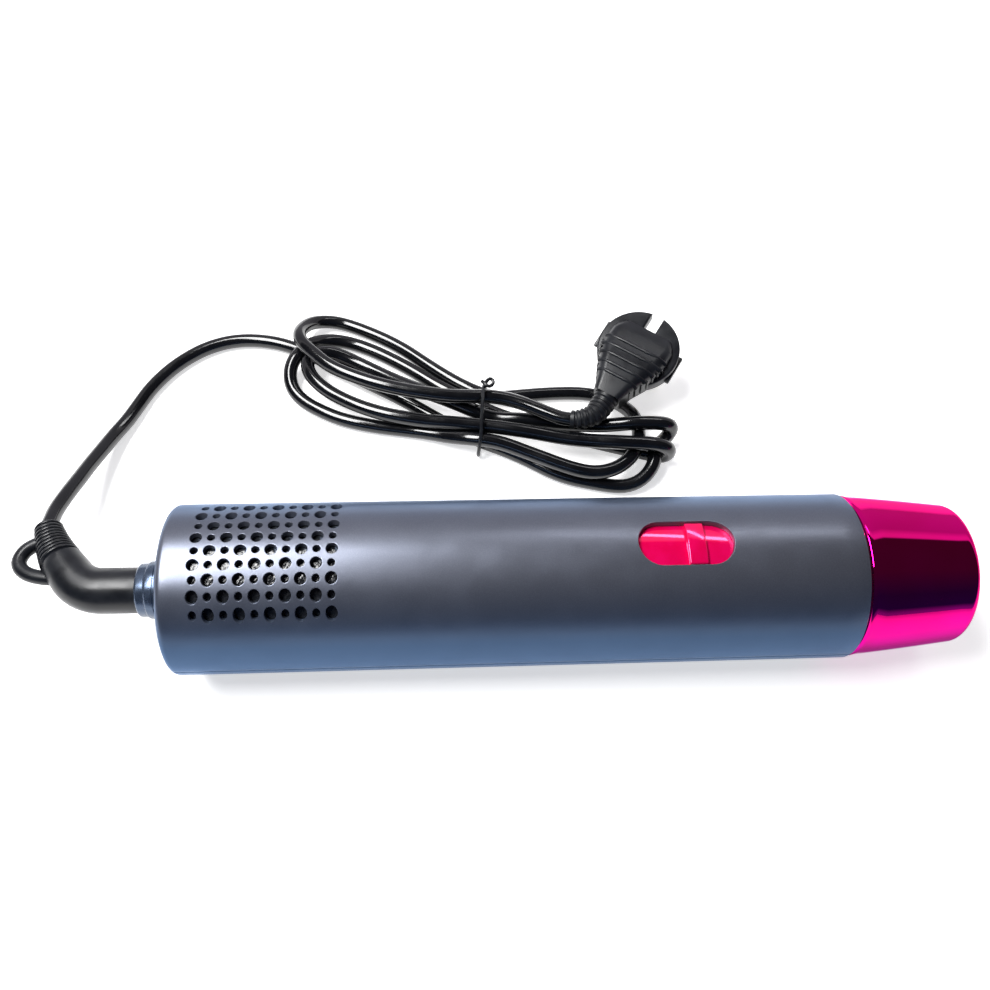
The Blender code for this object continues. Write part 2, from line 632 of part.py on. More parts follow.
def impeller(coat, axis):
    bore = SHAFT_RADIUS + GAP
    hub = [
        (0, bore), (0, HUB_RADIUS - 2 * MM), (2.4 * MM, HUB_RADIUS), (IMPELLER_LENGTH, HUB_RADIUS),
        (IMPELLER_LENGTH, bore),
    ]
    wheel = place("impeller", turned("impeller", hub), coat, axis, (IMPELLER_START, 0, 0))
    tip = DUCT_RADIUS - DUCT_WALL - 1.1 * MM
    middle = (HUB_RADIUS - 1 * MM + tip) / 2
    blades = []
    for i in range(BLADE_COUNT):
        turn = Matrix.Rotation(math.tau * i / BLADE_COUNT, 4, "X")
        lean = Matrix.Translation((IMPELLER_LENGTH / 2, 0, 0)) @ Matrix.Rotation(math.radians(38), 4, "Z")
        low = (-4.4 * MM, -0.6 * MM, HUB_RADIUS - 1 * MM)
        blades.append((low, (4.4 * MM, 0.6 * MM, 2 * middle - low[2]), turn @ lean))
    combine(wheel, boxes("fan_blades", *blades), "UNION")


# ---------------------------------------------------------------- heater


def heater(coats, axis):
    tube_outer = OUTLET_RADIUS - GAP
    tube_inner = tube_outer - MICA_TUBE_WALL
    sleeve = ring_profile(-MICA_TUBE_TAIL, HEATER_LENGTH + MICA_TUBE_LAP, tube_inner, tube_outer)
    place("mica_tube", turned("mica_tube", sleeve), coats["mica"], axis, (HEATER_START, 0, 0))
    half, slot = MICA_HALF_WIDTH, MICA_THICKNESS / 2 + GAP
    middle = HEATER_LENGTH / 2
    upright = [
        (0, -half), (HEATER_LENGTH, -half), (HEATER_LENGTH, -slot), (middle - GAP, -slot),
        (middle - GAP, slot), (HEATER_LENGTH, slot), (HEATER_LENGTH, half), (0, half),
    ]
    level = [
        (0, -half), (HEATER_LENGTH, -half), (HEATER_LENGTH, half), (0, half), (0, slot), (middle, slot),
        (middle, -slot), (0, -slot),
    ]
    thick = MICA_THICKNESS / 2
    place("mica_plate_upright", prism("mica_plate_upright", upright, -thick, thick, "Y"), coats["mica"], axis,
          (HEATER_START, 0, 0))
    place("mica_plate_level", prism("mica_plate_level", level, -thick, thick), coats["mica"], axis,
          (HEATER_START, 0, 0))
    spacer_outer = tube_inner - GAP
    spacer_inner = half + GAP
    for name, at in (("rear", -3 * MM), ("front", HEATER_LENGTH + GAP)):
        hoop = ring_profile(0, 2.7 * MM, spacer_inner - 3 * MM, spacer_outer)
        place(f"heater_hoop_{name}", turned(f"heater_hoop_{name}", hoop), coats["mica"], axis,
              (HEATER_START + at, 0, 0))
    turn_points = 12
    inset = 5 * MM
    pitch = (HEATER_LENGTH - 2 * inset) / COIL_TURNS
    points = []
    for i in range(COIL_TURNS * turn_points + 1):
        angle = math.tau * i / turn_points
        along = HEATER_START + inset + pitch * i / turn_points
        points.append((along, COIL_RADIUS * math.cos(angle), COIL_RADIUS * math.sin(angle)))
    tube("heater_coil", points, COIL_WIRE, coats["heating_wire"], axis, resolution=1)
    above = MICA_THICKNESS / 2 + GAP
    low = (HEATER_START + 34 * MM, 4 * MM, above)
    stat = boxes("thermostat", (low, (low[0] + 12 * MM, low[1] + 7 * MM, above + 3.2 * MM)))
    place("thermostat", stat, coats["steel"], axis)
    fuse = turned("thermal_fuse", rod_profile(0, 11 * MM, 1.8 * MM), 16)
    place("thermal_fuse", fuse, coats["brass"], axis, (HEATER_START + 34 * MM, -7 * MM, above + 1.8 * MM))


# ---------------------------------------------------------------- inlet, contacts and wires


def inlet_filter(coat, axis):
    """A cage of hoops and staves that carries the dust screen inside the vents."""
    outer, inner = SHELL_BORE - 0.4 * MM, SHELL_BORE - 1.1 * MM
    start, end = 18.5 * MM, 58.5 * MM
    cage = place("inlet_filter", turned("inlet_filter", ring_profile(0, 1.6 * MM, inner, outer)), coat, axis,
                 (start, 0, 0))
    length = end - start
    staves = [
        ((0.4 * MM, -0.8 * MM, inner + 0.15 * MM), (length - 0.4 * MM, 0.8 * MM, outer - 0.15 * MM),
         Matrix.Rotation(math.tau * (i + 0.5) / 8, 4, "X"))
        for i in range(8)
    ]
    combine(cage, boxes("filter_staves", *staves), "UNION")
    for i, at in enumerate((length * 0.5, length - 1.6 * MM)):
        hoop = ring_profile(at, at + 1.6 * MM, inner + 0.05 * MM, outer - 0.05 * MM)
        combine(cage, turned(f"filter_hoop_{i}", hoop), "UNION")


def contacts(coats, swivel, axis):
    """Disc and ring contacts on the spindle, and the sprung pair on a bar across the shells."""
    face = SPINDLE_END + GAP
    place("contact_disc", turned("contact_disc", rod_profile(face, face + 2 * MM, 7.5 * MM)),
          coats["black_plastic"], swivel)
    face += 2 * MM + GAP
    place("contact_ring", turned("contact_ring", ring_profile(face, face + 0.8 * MM, 4.4 * MM, 6.6 * MM)),
          coats["brass"], swivel)
    place("contact_pin", turned("contact_pin", rod_profile(face, face + 0.8 * MM, 1.6 * MM), 16),
          coats["brass"], swivel)
    face += 0.8 * MM + GAP
    for name, at in (("centre", 0), ("ring", 5.5 * MM)):
        low, high = (face, at - 1.2 * MM, -4 * MM), (face + 0.6 * MM, at + 1.2 * MM, 4 * MM)
        leaf = boxes(f"contact_spring_{name}", (low, high))
        place(f"contact_spring_{name}", leaf, coats["brass"], axis)
    face += 0.6 * MM + GAP
    half_width = SHELL_BORE - 1.6 * MM
    bar = boxes("contact_carrier", ((face, -half_width, -6 * MM), (face + 2 * MM, half_width, 6 * MM)))
    place("contact_carrier", bar, coats["black_plastic"], axis)
    return face + 2 * MM


def lead_wires(coats, axis, carrier_face):
    """Insulated wires from the contact bar past the fan duct to the board and on to the heater."""
    duct_end = DUCT_START + DUCT_LENGTH
    passing = DUCT_RADIUS + GAP + WIRE_RADIUS + 0.05 * MM
    board_under = BOARD_HEIGHT - BOARD_THICKNESS - GAP - WIRE_RADIUS - 0.5 * MM
    rear_pad = WINDOW_CENTRE - BOARD_LENGTH / 2 + 3 * MM
    front_pad = WINDOW_CENTRE + BOARD_LENGTH / 2 - 3 * MM
    for name, side, coat in (("live", -1, coats["wire_red"]), ("neutral", 1, coats["wire_blue"])):
        angle = math.radians(28)
        y, z = side * passing * math.sin(angle), -passing * math.cos(angle)
        route = [
            Vector((carrier_face + GAP + WIRE_RADIUS, side * 9 * MM, -3 * MM)),
            Vector((carrier_face + 10 * MM, side * 9.5 * MM, -12 * MM)),
            Vector((DUCT_START - 14 * MM, y * 0.88, z * 0.88)),
            Vector((DUCT_START - 2 * MM, y, z)),
            Vector(((DUCT_START + duct_end) / 2, y, z)),
            Vector((duct_end + 4 * MM, y, z)),
            Vector((duct_end + 26 * MM, y, z * 0.92)),
            Vector((rear_pad - 10 * MM, side * 9 * MM, -12 * MM)),
            Vector((rear_pad, side * 7.5 * MM, board_under)),
        ]
        tube(f"wire_{name}", smooth_route(route, 7 * MM), WIRE_RADIUS, coat, axis, resolution=1)
        heater_face = HEATER_START - 3.4 * MM
        route = [
            Vector((front_pad, side * 7.5 * MM, board_under)),
            Vector((front_pad, side * 7.8 * MM, board_under - 6 * MM)),
            Vector((heater_face - 0.5 * MM, side * (MICA_HALF_WIDTH - 1.4 * MM), -2 * MM)),
        ]
        route[1].x -= 3 * MM
        tube(f"heater_wire_{name}", smooth_route(route, 4 * MM), WIRE_RADIUS, coat, axis, resolution=1)


# ---------------------------------------------------------------- swivel, elbow and cord


def swivel_bush(coat, axis):
    """The collar behind the body, held between the shells by its groove and inner flange."""
    groove = BUSH_HOLE - GAP
    bore = SPINDLE_RADIUS + GAP
    flange = REAR_WALL + GAP
    step = COLLAR_RADIUS - 0.7 * MM
    profile = [
        (-COLLAR_LENGTH, bore), (-COLLAR_LENGTH, step - 0.7 * MM), (-COLLAR_LENGTH + 0.8 * MM, step),
        (-COLLAR_LENGTH + 3.2 * MM, step), (-COLLAR_LENGTH + 4 * MM, COLLAR_RADIUS),
        (-GAP, COLLAR_RADIUS), (-GAP, groove), (flange, groove), (flange, FLANGE_RADIUS),
        (flange + FLANGE_THICKNESS, FLANGE_RADIUS), (flange + FLANGE_THICKNESS, bore),
    ]
    place("swivel_bush", turned("swivel_bush", profile), coat, axis)


def swivel_clip(coat, axis):
    """A C shaped circlip in the spindle's groove."""
    start = REAR_WALL + 2 * GAP + FLANGE_THICKNESS + GAP
    outer = arc((0, 0), SPINDLE_RADIUS + 2.2 * MM, 25, 335, 20)
    inner = arc((0, 0), SPINDLE_RADIUS - 0.8 * MM, 335, 25, 20)
    clip = prism("swivel_circlip", outer + inner, start, start + CLIP_THICKNESS, "X")
    place("swivel_circlip", clip, coat, axis)


def elbow_line():
    """Centreline points and radii of the moulded elbow, from inside the body to its ribbed end."""
    groove_start = REAR_WALL + GAP + FLANGE_THICKNESS + 0.4 * MM
    groove = SPINDLE_RADIUS - 1.2 * MM
    points = [
        (Vector((SPINDLE_END, 0, 0)), SPINDLE_RADIUS),
        (Vector((groove_start + 1.9 * MM, 0, 0)), SPINDLE_RADIUS),
        (Vector((groove_start + 1.7 * MM, 0, 0)), groove),
        (Vector((groove_start, 0, 0)), groove),
        (Vector((groove_start - 0.2 * MM, 0, 0)), SPINDLE_RADIUS),
        (Vector((-ELBOW_STRAIGHT, 0, 0)), SPINDLE_RADIUS),
    ]
    steps = 6
    for i in range(1, steps + 1):
        angle = ELBOW_ANGLE * i / steps
        at = Vector((-ELBOW_STRAIGHT - ELBOW_BEND * math.sin(angle), ELBOW_BEND * (1 - math.cos(angle)), 0))
        points.append((at, SPINDLE_RADIUS - 0.3 * MM * i / steps))
    at = bend_end = points[-1][0]
    turn_per_length = RELIEF_TURN / (ELBOW_NECK + RIB_COUNT * RIB_PITCH)
    angle = ELBOW_ANGLE + turn_per_length * ELBOW_NECK / 2
    at = at + Vector((-math.cos(angle), math.sin(angle), 0)) * ELBOW_NECK
    points.append((at, RELIEF_START))
    angle += turn_per_length * (ELBOW_NECK + RIB_PITCH) / 2
    for rib in range(RIB_COUNT):
        level = math.cos(RIB_DROP)
        heading = Vector((-math.cos(angle) * level, math.sin(angle) * level, -math.sin(RIB_DROP)))
        radius = RELIEF_START + (RELIEF_END - RELIEF_START) * rib / (RIB_COUNT - 1)
        for share, inset in ((0.1, 0.7), (0.42, 0.7), (0.52, 0.0), (1.0, 0.0)):
            points.append((at + heading * RIB_PITCH * share, radius - inset * MM))
        at = at + heading * RIB_PITCH
        angle += turn_per_length * RIB_PITCH
    return points, bend_end, heading


def cord_elbow(coat, swivel):
    line, bend_end, heading = elbow_line()
    scales = [radius / SPINDLE_RADIUS for _, radius in line]
    mesh = solid_tube("cord_elbow", [point for point, _ in line], SPINDLE_RADIUS, scales)
    elbow = place("cord_elbow", mesh, coat, swivel)
    loop = [bend_end + Vector(point) * MM for point in HANG_LOOP]
    combine(elbow, solid_tube("hang_loop", smooth_route(loop, 3 * MM), LOOP_RADIUS, None, 2), "UNION")
    return line[-1][0], heading


def cord(coats, table, start, heading):
    """The lead from the elbow to the hank, the tied hank, and the tail to the plug."""
    first = start + heading * GAP
    first = Vector((first.x, first.y, first.z + AXIS_HEIGHT))
    second = first + heading * 3 * MM
    route = [second] + [Vector(point) * MM for point in LEAD_ROUTE]
    line = [first, *smooth_route(route, 7 * MM)]
    tube("cord_lead", line, CORD_RADIUS, coats["cord_rubber"], table)
    outline = [Vector((x * MM, y * MM)) for x, y in HANK_OUTLINE]
    place("cord_hank", prism("cord_hank", outline, 0, HANK_HEIGHT), coats["cord_rubber"], table)


def cord_tie(coat, table):
    """A flat strap over the waist of the hank."""
    low, high, top, foot = WAIST["low"] * MM - GAP, WAIST["high"] * MM + GAP, HANK_HEIGHT + GAP, 0.4 * MM
    strap = [
        (low - TIE_THICKNESS, foot), (low, foot), (low, top), (high, top), (high, foot),
        (high + TIE_THICKNESS, foot), (high + TIE_THICKNESS, top + TIE_THICKNESS),
        (low - TIE_THICKNESS, top + TIE_THICKNESS),
    ]
    mesh = prism("cord_tie", strap, -TIE_WIDTH / 2, TIE_WIDTH / 2, "X")
    place("cord_tie", mesh, coat, table, (WAIST["x"] * MM, 0, 0))


def plug(coats, frame):
    """Two pole plug: a notched disc, a wedge shaped back and a ribbed neck towards the cord."""
    notch_half, notch_depth = 2.7 * MM, 7.6 * MM
    reach = math.degrees(math.asin(notch_half / PLUG_RADIUS))
    bottom = PLUG_RADIUS - notch_depth
    outline = arc((0, 0), PLUG_RADIUS, reach, 360 - reach, 40)
    outline += arc((bottom, 0), notch_half, -90, -270, 6)
    disc = place("plug_body", prism("plug_body", outline, 0, PLUG_RIM), coats["black_plastic"], frame)
    # stations of the back, in mm: along the plug, half width, height
    back = (
        (9, 11.5, 7.5), (3, 14.5, 10.5), (-7, 14, 13), (-14, 11.5, 13.5), (-21, 8, 13.5), (-27, 6, 13),
    )
    bm = bmesh.new()
    rings = []
    for x, half, top in back:
        low = 1.0 if x > -15 else 2.0
        flat = half * 0.72
        corners = [(half, low), (half, top - 3), (flat, top), (-flat, top), (-half, top - 3), (-half, low)]
        rings.append([bm.verts.new((x * MM, y * MM, z * MM)) for y, z in corners])
    for near, far in zip(rings, rings[1:]):
        for i in range(len(near)):
            bm.faces.new((near[i], near[i - 1], far[i - 1], far[i]))
    bm.faces.new(rings[0])
    bm.faces.new(rings[-1])
    combine(disc, mesh_of(bm, "plug_back"), "UNION")
    for side in (-1, 1):
        edge = side * PLUG_RADIUS
        tab = ((-6.5 * MM, edge - 1.2 * MM, 1 * MM), (6.5 * MM, edge + 1.2 * MM, 3 * MM))
        combine(disc, boxes("rim_tab", tab), "UNION")
    for name, side in (("live", 1), ("neutral", -1)):
        y = side * PIN_SPACING / 2
        sleeve = turned(f"pin_sleeve_{name}", rod_profile(-9 * MM, -GAP, PIN_RADIUS), 16, (0, 0, 1))
        place(f"pin_sleeve_{name}", sleeve, coats["black_plastic"], frame, (0, y, 0))
        tip = [
            (-PIN_LENGTH, 0), (-PIN_LENGTH, PIN_RADIUS - 0.8 * MM), (-PIN_LENGTH + 0.8 * MM, PIN_RADIUS),
            (-9 * MM - GAP, PIN_RADIUS), (-9 * MM - GAP, 0),
        ]
        pin = turned(f"plug_pin_{name}", tip, 16, (0, 0, 1))
        place(f"plug_pin_{name}", pin, coats["brass"], frame, (0, y, 0))


def plug_frame(table):
    height = PIN_LENGTH * math.cos(PLUG_TILT) + PIN_RADIUS * math.sin(PLUG_TILT) + 0.1 * MM
    return empty("plug_frame", (179.8 * MM, 111.8 * MM, height), (0, -PLUG_TILT, PLUG_HEADING), table)


def plug_relief(coats, frame, table):
    """The relief on the plug's neck, and the tail that runs on from it over the hank to the tie."""
    bpy.context.view_layer.update()
    to_table = table.matrix_world.inverted() @ frame.matrix_world
    start = to_table @ Vector((-27.3 * MM, 0, 7.5 * MM))
    out = (to_table.to_3x3() @ Vector((-1, 0, 0))).normalized()
    route = [start + out * 1.5 * MM, start + out * 4.5 * MM] + [Vector(point) * MM for point in TAIL_ROUTE]
    line = [start, *smooth_route(route, 2 * MM)]
    relief, rest = line[:RELIEF_STEPS], line[RELIEF_STEPS:]
    scales = [1.0 - 0.28 * i / (len(relief) - 1) for i in range(len(relief))]
    tube("plug_relief", relief, 5.4 * MM, coats["black_plastic"], table, scales)
    onward = (relief[-1] - relief[-2]).normalized()
    lead_in = [relief[-1] + onward * GAP, relief[-1] + onward * MM]
    tube("cord_tail", lead_in + rest[::3] + [rest[-1]], CORD_RADIUS, coats["cord_rubber"], table)


def main():
    clear_scene()
    coats = finishes()
    table = empty("table", (REAR_X, 0, 0))
    axis = empty("handle_axis", (REAR_X, 0, AXIS_HEIGHT))
    upper_shell(coats["body_paint"], axis)
    lower_shell(coats["body_paint"], axis)
    shell_screws(coats["steel"], axis)
    nozzle(coats["magenta_chrome"], axis)
    outlet_grille(coats["black_plastic"], axis)
    switch_slider(coats["magenta_chrome"], axis)
    switch_unit(coats, axis)
    fan_duct(coats["white_nylon"], axis)
    motor(coats, axis)
    impeller(coats["white_nylon"], axis)
    heater(coats, axis)
    inlet_filter(coats["black_plastic"], axis)
    carrier_face = contacts(coats, axis, axis)
    lead_wires(coats, axis, carrier_face)
    swivel_bush(coats["body_paint"], axis)
    swivel_clip(coats["steel"], axis)
    end, heading = cord_elbow(coats["black_plastic"], axis)
    cord(coats, table, end, heading)
    cord_tie(coats["cord_rubber"], table)
    frame = plug_frame(table)
    plug(coats, frame)
    plug_relief(coats, frame, table)


main()
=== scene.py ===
import json
import math

import bmesh
import bpy
import numpy as np
from mathutils import Matrix, Vector


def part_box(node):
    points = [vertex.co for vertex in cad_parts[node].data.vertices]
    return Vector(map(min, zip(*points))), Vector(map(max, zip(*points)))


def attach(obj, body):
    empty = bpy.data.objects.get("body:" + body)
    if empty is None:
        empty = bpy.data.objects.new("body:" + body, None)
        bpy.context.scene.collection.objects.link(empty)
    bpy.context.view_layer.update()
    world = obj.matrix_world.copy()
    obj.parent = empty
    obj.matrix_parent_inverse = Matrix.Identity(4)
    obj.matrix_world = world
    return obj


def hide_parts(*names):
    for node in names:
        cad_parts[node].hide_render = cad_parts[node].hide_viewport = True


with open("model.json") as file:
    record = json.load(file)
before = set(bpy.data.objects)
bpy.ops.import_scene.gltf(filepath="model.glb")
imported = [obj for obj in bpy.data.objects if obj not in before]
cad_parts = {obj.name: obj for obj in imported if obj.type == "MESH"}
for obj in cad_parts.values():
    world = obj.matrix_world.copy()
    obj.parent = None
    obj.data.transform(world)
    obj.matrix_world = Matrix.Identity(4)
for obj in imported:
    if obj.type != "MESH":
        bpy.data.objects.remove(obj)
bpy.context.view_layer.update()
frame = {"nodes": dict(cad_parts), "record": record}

mm = 0.001
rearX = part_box("upper_shell")[0][0]  # rear face of the body
axisZ = (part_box("nozzle")[0][2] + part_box("nozzle")[1][2]) / 2
tableFrame = Matrix.Translation((rearX, 0, 0))
axisFrame = Matrix.Translation((rearX, 0, axisZ))


# the view: degrees turned, tipped down and rolled, and the lens in mm
camera = {
    "place": (-0.04125, -0.1388, 0.3345),
    "yaw": 7.045,
    "down": 59.92,
    "roll": 5.2,
    "lens": 33.7,
}


def addCamera():
    yaw, down, roll = (math.radians(camera[key]) for key in ("yaw", "down", "roll"))
    ahead = Vector((math.sin(yaw) * math.cos(down), math.cos(yaw) * math.cos(down), -math.sin(down)))
    side = Vector((math.cos(yaw), -math.sin(yaw), 0))
    up = side.cross(ahead)
    right = side * math.cos(roll) + up * math.sin(roll)
    top = -side * math.sin(roll) + up * math.cos(roll)
    data = bpy.data.cameras.new("camera")
    data.lens = camera["lens"]
    data.sensor_width = 36
    data.clip_start = 0.01
    eye = bpy.data.objects.new("camera", data)
    turn = Matrix((right, top, -ahead)).transposed().to_4x4()
    eye.matrix_world = Matrix.Translation(camera["place"]) @ turn
    bpy.context.scene.collection.objects.link(eye)
    bpy.context.scene.camera = eye


addCamera()
print("camera set")


class Wire:  # one shader socket, so that shader sums read as Python
    def __init__(self, tree, socket=None):
        self.tree, self.socket = tree, socket

    def add(self, kind, settings=None, values=None, out=0):
        node = self.tree.nodes.new(kind)
        for key, value in (settings or {}).items():
            if key == "stops":
                ramp = node.color_ramp
                while len(ramp.elements) < len(value):
                    ramp.elements.new(0.5)
                for element, (at, colour) in zip(ramp.elements, value):
                    element.position = at
                    element.color = (*colour, 1)
            else:
                setattr(node, key, value)
        for key, value in (values or {}).items():
            if isinstance(value, Wire):
                self.tree.links.new(value.socket, node.inputs[key])
            else:
                node.inputs[key].default_value = value
        return Wire(self.tree, node.outputs[out])

    def math(self, operation, a, b=0.0):
        return self.add("ShaderNodeMath", {"operation": operation}, {0: a, 1: b})

    def __add__(self, other):
        return self.math("ADD", self, other)

    def __radd__(self, other):
        return self.math("ADD", other, self)

    def __sub__(self, other):
        return self.math("SUBTRACT", self, other)

    def __rsub__(self, other):
        return self.math("SUBTRACT", other, self)

    def __mul__(self, other):
        return self.math("MULTIPLY", self, other)

    def __rmul__(self, other):
        return self.math("MULTIPLY", other, self)

    def __truediv__(self, other):
        return self.math("DIVIDE", self, other)

    def smooth(self, low, high):
        return self.add(
            "ShaderNodeMapRange", {"interpolation_type": "SMOOTHSTEP"}, {0: self, 1: low, 2: high, 3: 0.0, 4: 1.0}
        )

    def tint(self, a, b):  # colour a where this is 0, b where it is 1
        return self.add("ShaderNodeMix", {"data_type": "RGBA"}, {0: self, 6: a, 7: b}, 2)

    def height(self, low, high):  # 0 below, 1 above, by the height on the piece
        place = self.add("ShaderNodeTexCoord", out=3)
        return self.add("ShaderNodeSeparateXYZ", {}, {0: place}, 2).smooth(low, high)

    def noise(self, size, detail=3.0, stretch=(1, 1, 1)):  # size of a speckle in metres
        place = self.add("ShaderNodeTexCoord", out=3)
        place = self.add("ShaderNodeMapping", {}, {0: place, 3: tuple(1 / (size * s) for s in stretch)})
        return self.add("ShaderNodeTexNoise", {}, {0: place, 2: 1.0, 3: detail})


def colour(red, green, blue):
    return (red, green, blue, 1.0)


def finish(name, fixed, varying=None, bump=None):
    # fixed values go straight on the shader, varying ones are worked out by the function given
    made = bpy.data.materials.new(name)
    made.use_nodes = True
    shader = made.node_tree.nodes["Principled BSDF"]
    for key, value in fixed.items():
        shader.inputs[key].default_value = value
    wire = Wire(made.node_tree)
    for key, build in (varying or {}).items():
        made.node_tree.links.new(build(wire).socket, shader.inputs[key])
    if bump:
        build, strength, distance = bump
        lump = wire.add("ShaderNodeBump", {}, {"Strength": strength, "Distance": distance, "Height": build(wire)})
        made.node_tree.links.new(lump.socket, shader.inputs["Normal"])
    made.diffuse_color = fixed.get("Base Color", (0.5, 0.5, 0.5, 1))
    return made


def mottled(dark, light, size, detail=3.0, stretch=(1, 1, 1)):
    return lambda wire: wire.noise(size, detail, stretch).smooth(0.3, 0.7).tint(dark, light)


def uneven(low, high, size, detail=3.0, stretch=(1, 1, 1)):
    return lambda wire: low + wire.noise(size, detail, stretch).smooth(0.3, 0.7) * (high - low)


looks = {
    "bodyMetallic": 0.72,
    # painted reflection: the darker, bluer colour painted on the lower part of the body
    "bodyPaintedReflectionLow": colour(0.034, 0.066, 0.128),
    "bodyDark": colour(0.112, 0.120, 0.150),
    "bodyLight": colour(0.138, 0.148, 0.182),
    "bodyEdge": colour(0.45, 0.62, 0.9),
    "chromeEdge": colour(0.55, 0.02, 0.4),
    "chrome": colour(0.80, 0.003, 0.19),
    # painted reflection: the darker, bluer colour painted on the lower part of the chrome
    "chromePaintedReflectionLow": colour(0.42, 0.001, 0.27),
    "cord": colour(0.0025, 0.0028, 0.0036),
}


def satinPaint():  # fine metal flake in a satin coat, with softer and glossier patches from handling; the lower part of the body is painted darker and bluer, a painted reflection
    def flakeAndPaintedReflection(wire):
        fine = wire.noise(0.00035, 2.0).smooth(0.35, 0.75)
        cloud = wire.noise(0.02, 3.0).smooth(0.3, 0.7)
        flakes = (fine * 0.7 + cloud * 0.3).tint(looks["bodyDark"], looks["bodyLight"])
        # painted reflection: below this height on the piece the paint is darker and bluer, standing in for the bluish
        # reflection on the underside
        return wire.height(0.040, 0.060).tint(looks["bodyPaintedReflectionLow"], flakes)

    def rough(wire):
        return 0.30 + wire.noise(0.00025, 2.0).smooth(0.3, 0.7) * 0.05 + wire.noise(0.012, 4.0).smooth(0.35, 0.7) * 0.05

    fixed = {
        "Metallic": looks["bodyMetallic"], "Specular Tint": looks["bodyEdge"],
        "Coat Roughness": 0.28, "Coat Weight": 0.12,
    }
    return finish(
        "satinPaint", fixed, {"Base Color": flakeAndPaintedReflection, "Roughness": rough}, (lambda w: w.noise(0.0004, 2.0), 0.08, 0.00004)
    )


def magentaChrome():
    def stainAndPaintedReflection(wire):  # a vapour coat a little redder and bluer in broad clouds, and a painted reflection: the lower part painted darker and bluer
        warm = wire.noise(0.03, 2.0).smooth(0.3, 0.7).tint(looks["chrome"], colour(0.92, 0.003, 0.26))
        # painted reflection: below this height the chrome is painted darker and bluer, standing in for the reflection
        # in its lower band
        return wire.height(0.026, 0.05).tint(looks["chromePaintedReflectionLow"], warm)

    def rough(wire):  # faint rubbing
        return 0.035 + wire.noise(0.004, 4.0, (3, 1, 1)).smooth(0.5, 0.8) * 0.05

    fixed = {"Metallic": 1.0, "Specular Tint": looks["chromeEdge"], "Coat Weight": 0.06, "Coat Roughness": 0.03}
    wave = (lambda w: w.noise(0.012, 2.0), 0.05, 0.0001)
    return finish("magentaChrome", fixed, {"Base Color": stainAndPaintedReflection, "Roughness": rough}, wave)


def plainFinish(
    name, dark, light, roughLow, roughHigh, size=0.002, metallic=0.0, bumpSize=0.0005, bumpDepth=0.00002, **more
):
    return finish(
        name, {"Metallic": metallic, **more},
        {"Base Color": mottled(dark, light, size), "Roughness": uneven(roughLow, roughHigh, size)},
        (lambda w: w.noise(bumpSize, 3.0), 0.25, bumpDepth),
    )


coats = {
    "body_paint": satinPaint(),
    "magenta_chrome": magentaChrome(),
    "black_plastic": plainFinish(
        "satinBlackPlastic", colour(0.0050, 0.0056, 0.0075), colour(0.0080, 0.0092, 0.0120), 0.28, 0.4, 0.006,
        bumpSize=0.0004, **{"Specular IOR Level": 0.32},
    ),
    "cord_rubber": plainFinish(
        "glossyCordSheath", looks["cord"], colour(0.004, 0.0044, 0.0055), 0.09, 0.15, 0.01, bumpSize=0.004,
        bumpDepth=0.00008,
    ),
    "white_nylon": plainFinish("whiteNylon", colour(0.72, 0.71, 0.67), colour(0.80, 0.79, 0.75), 0.35, 0.5),
    "steel": plainFinish("zincSteel", colour(0.55, 0.55, 0.56), colour(0.66, 0.66, 0.66), 0.22, 0.38, metallic=1.0),
    "brass": plainFinish("nickelBrass", colour(0.70, 0.62, 0.45), colour(0.78, 0.70, 0.52), 0.15, 0.3, metallic=1.0),
    "mica": plainFinish("micaSheet", colour(0.52, 0.42, 0.26), colour(0.68, 0.58, 0.40), 0.2, 0.45, 0.004),
    "heating_wire": plainFinish(
        "heatingWire", colour(0.35, 0.32, 0.30), colour(0.48, 0.42, 0.37), 0.35, 0.5, metallic=1.0
    ),
    "board": plainFinish("circuitBoard", colour(0.02, 0.14, 0.05), colour(0.03, 0.19, 0.07), 0.3, 0.45),
    "wire_red": plainFinish("redWire", colour(0.5, 0.015, 0.012), colour(0.6, 0.025, 0.02), 0.3, 0.4),
    "wire_blue": plainFinish("blueWire", colour(0.02, 0.07, 0.45), colour(0.03, 0.10, 0.55), 0.3, 0.4),
}
sliderLacquer = plainFinish(
    "magentaLacquer", colour(0.88, 0.0, 0.085), colour(0.95, 0.001, 0.12), 0.05, 0.12, 0.006,
    metallic=0.45, bumpSize=0.006,
    **{"Coat Weight": 0.3, "Coat Roughness": 0.04},
)
collarSatin = plainFinish(
    "collarSatin", colour(0.060, 0.082, 0.125), colour(0.080, 0.108, 0.160), 0.2, 0.3, 0.004, metallic=0.75,
)
ribbedBlack = plainFinish(
    "ribbedBlackPlastic", colour(0.006, 0.0066, 0.008), colour(0.009, 0.010, 0.0125), 0.34, 0.46, 0.004,
    **{"Specular IOR Level": 0.32},
)
# the screen seen through the vents is glossy and catches small glints
coats["screen"] = plainFinish(
    "glossyScreen", colour(0.006, 0.007, 0.008), colour(0.016, 0.017, 0.02), 0.06, 0.2, 0.0012, bumpSize=0.0013,
    bumpDepth=0.0009,
)

for part in frame["record"]["subparts"]:
    node = frame["nodes"][part["node"]]
    coat = coats["screen" if part["node"] == "inlet_filter" else part["material_slot"]]
    node.data.materials.clear()
    node.data.materials.append(coat)
print("finishes made")


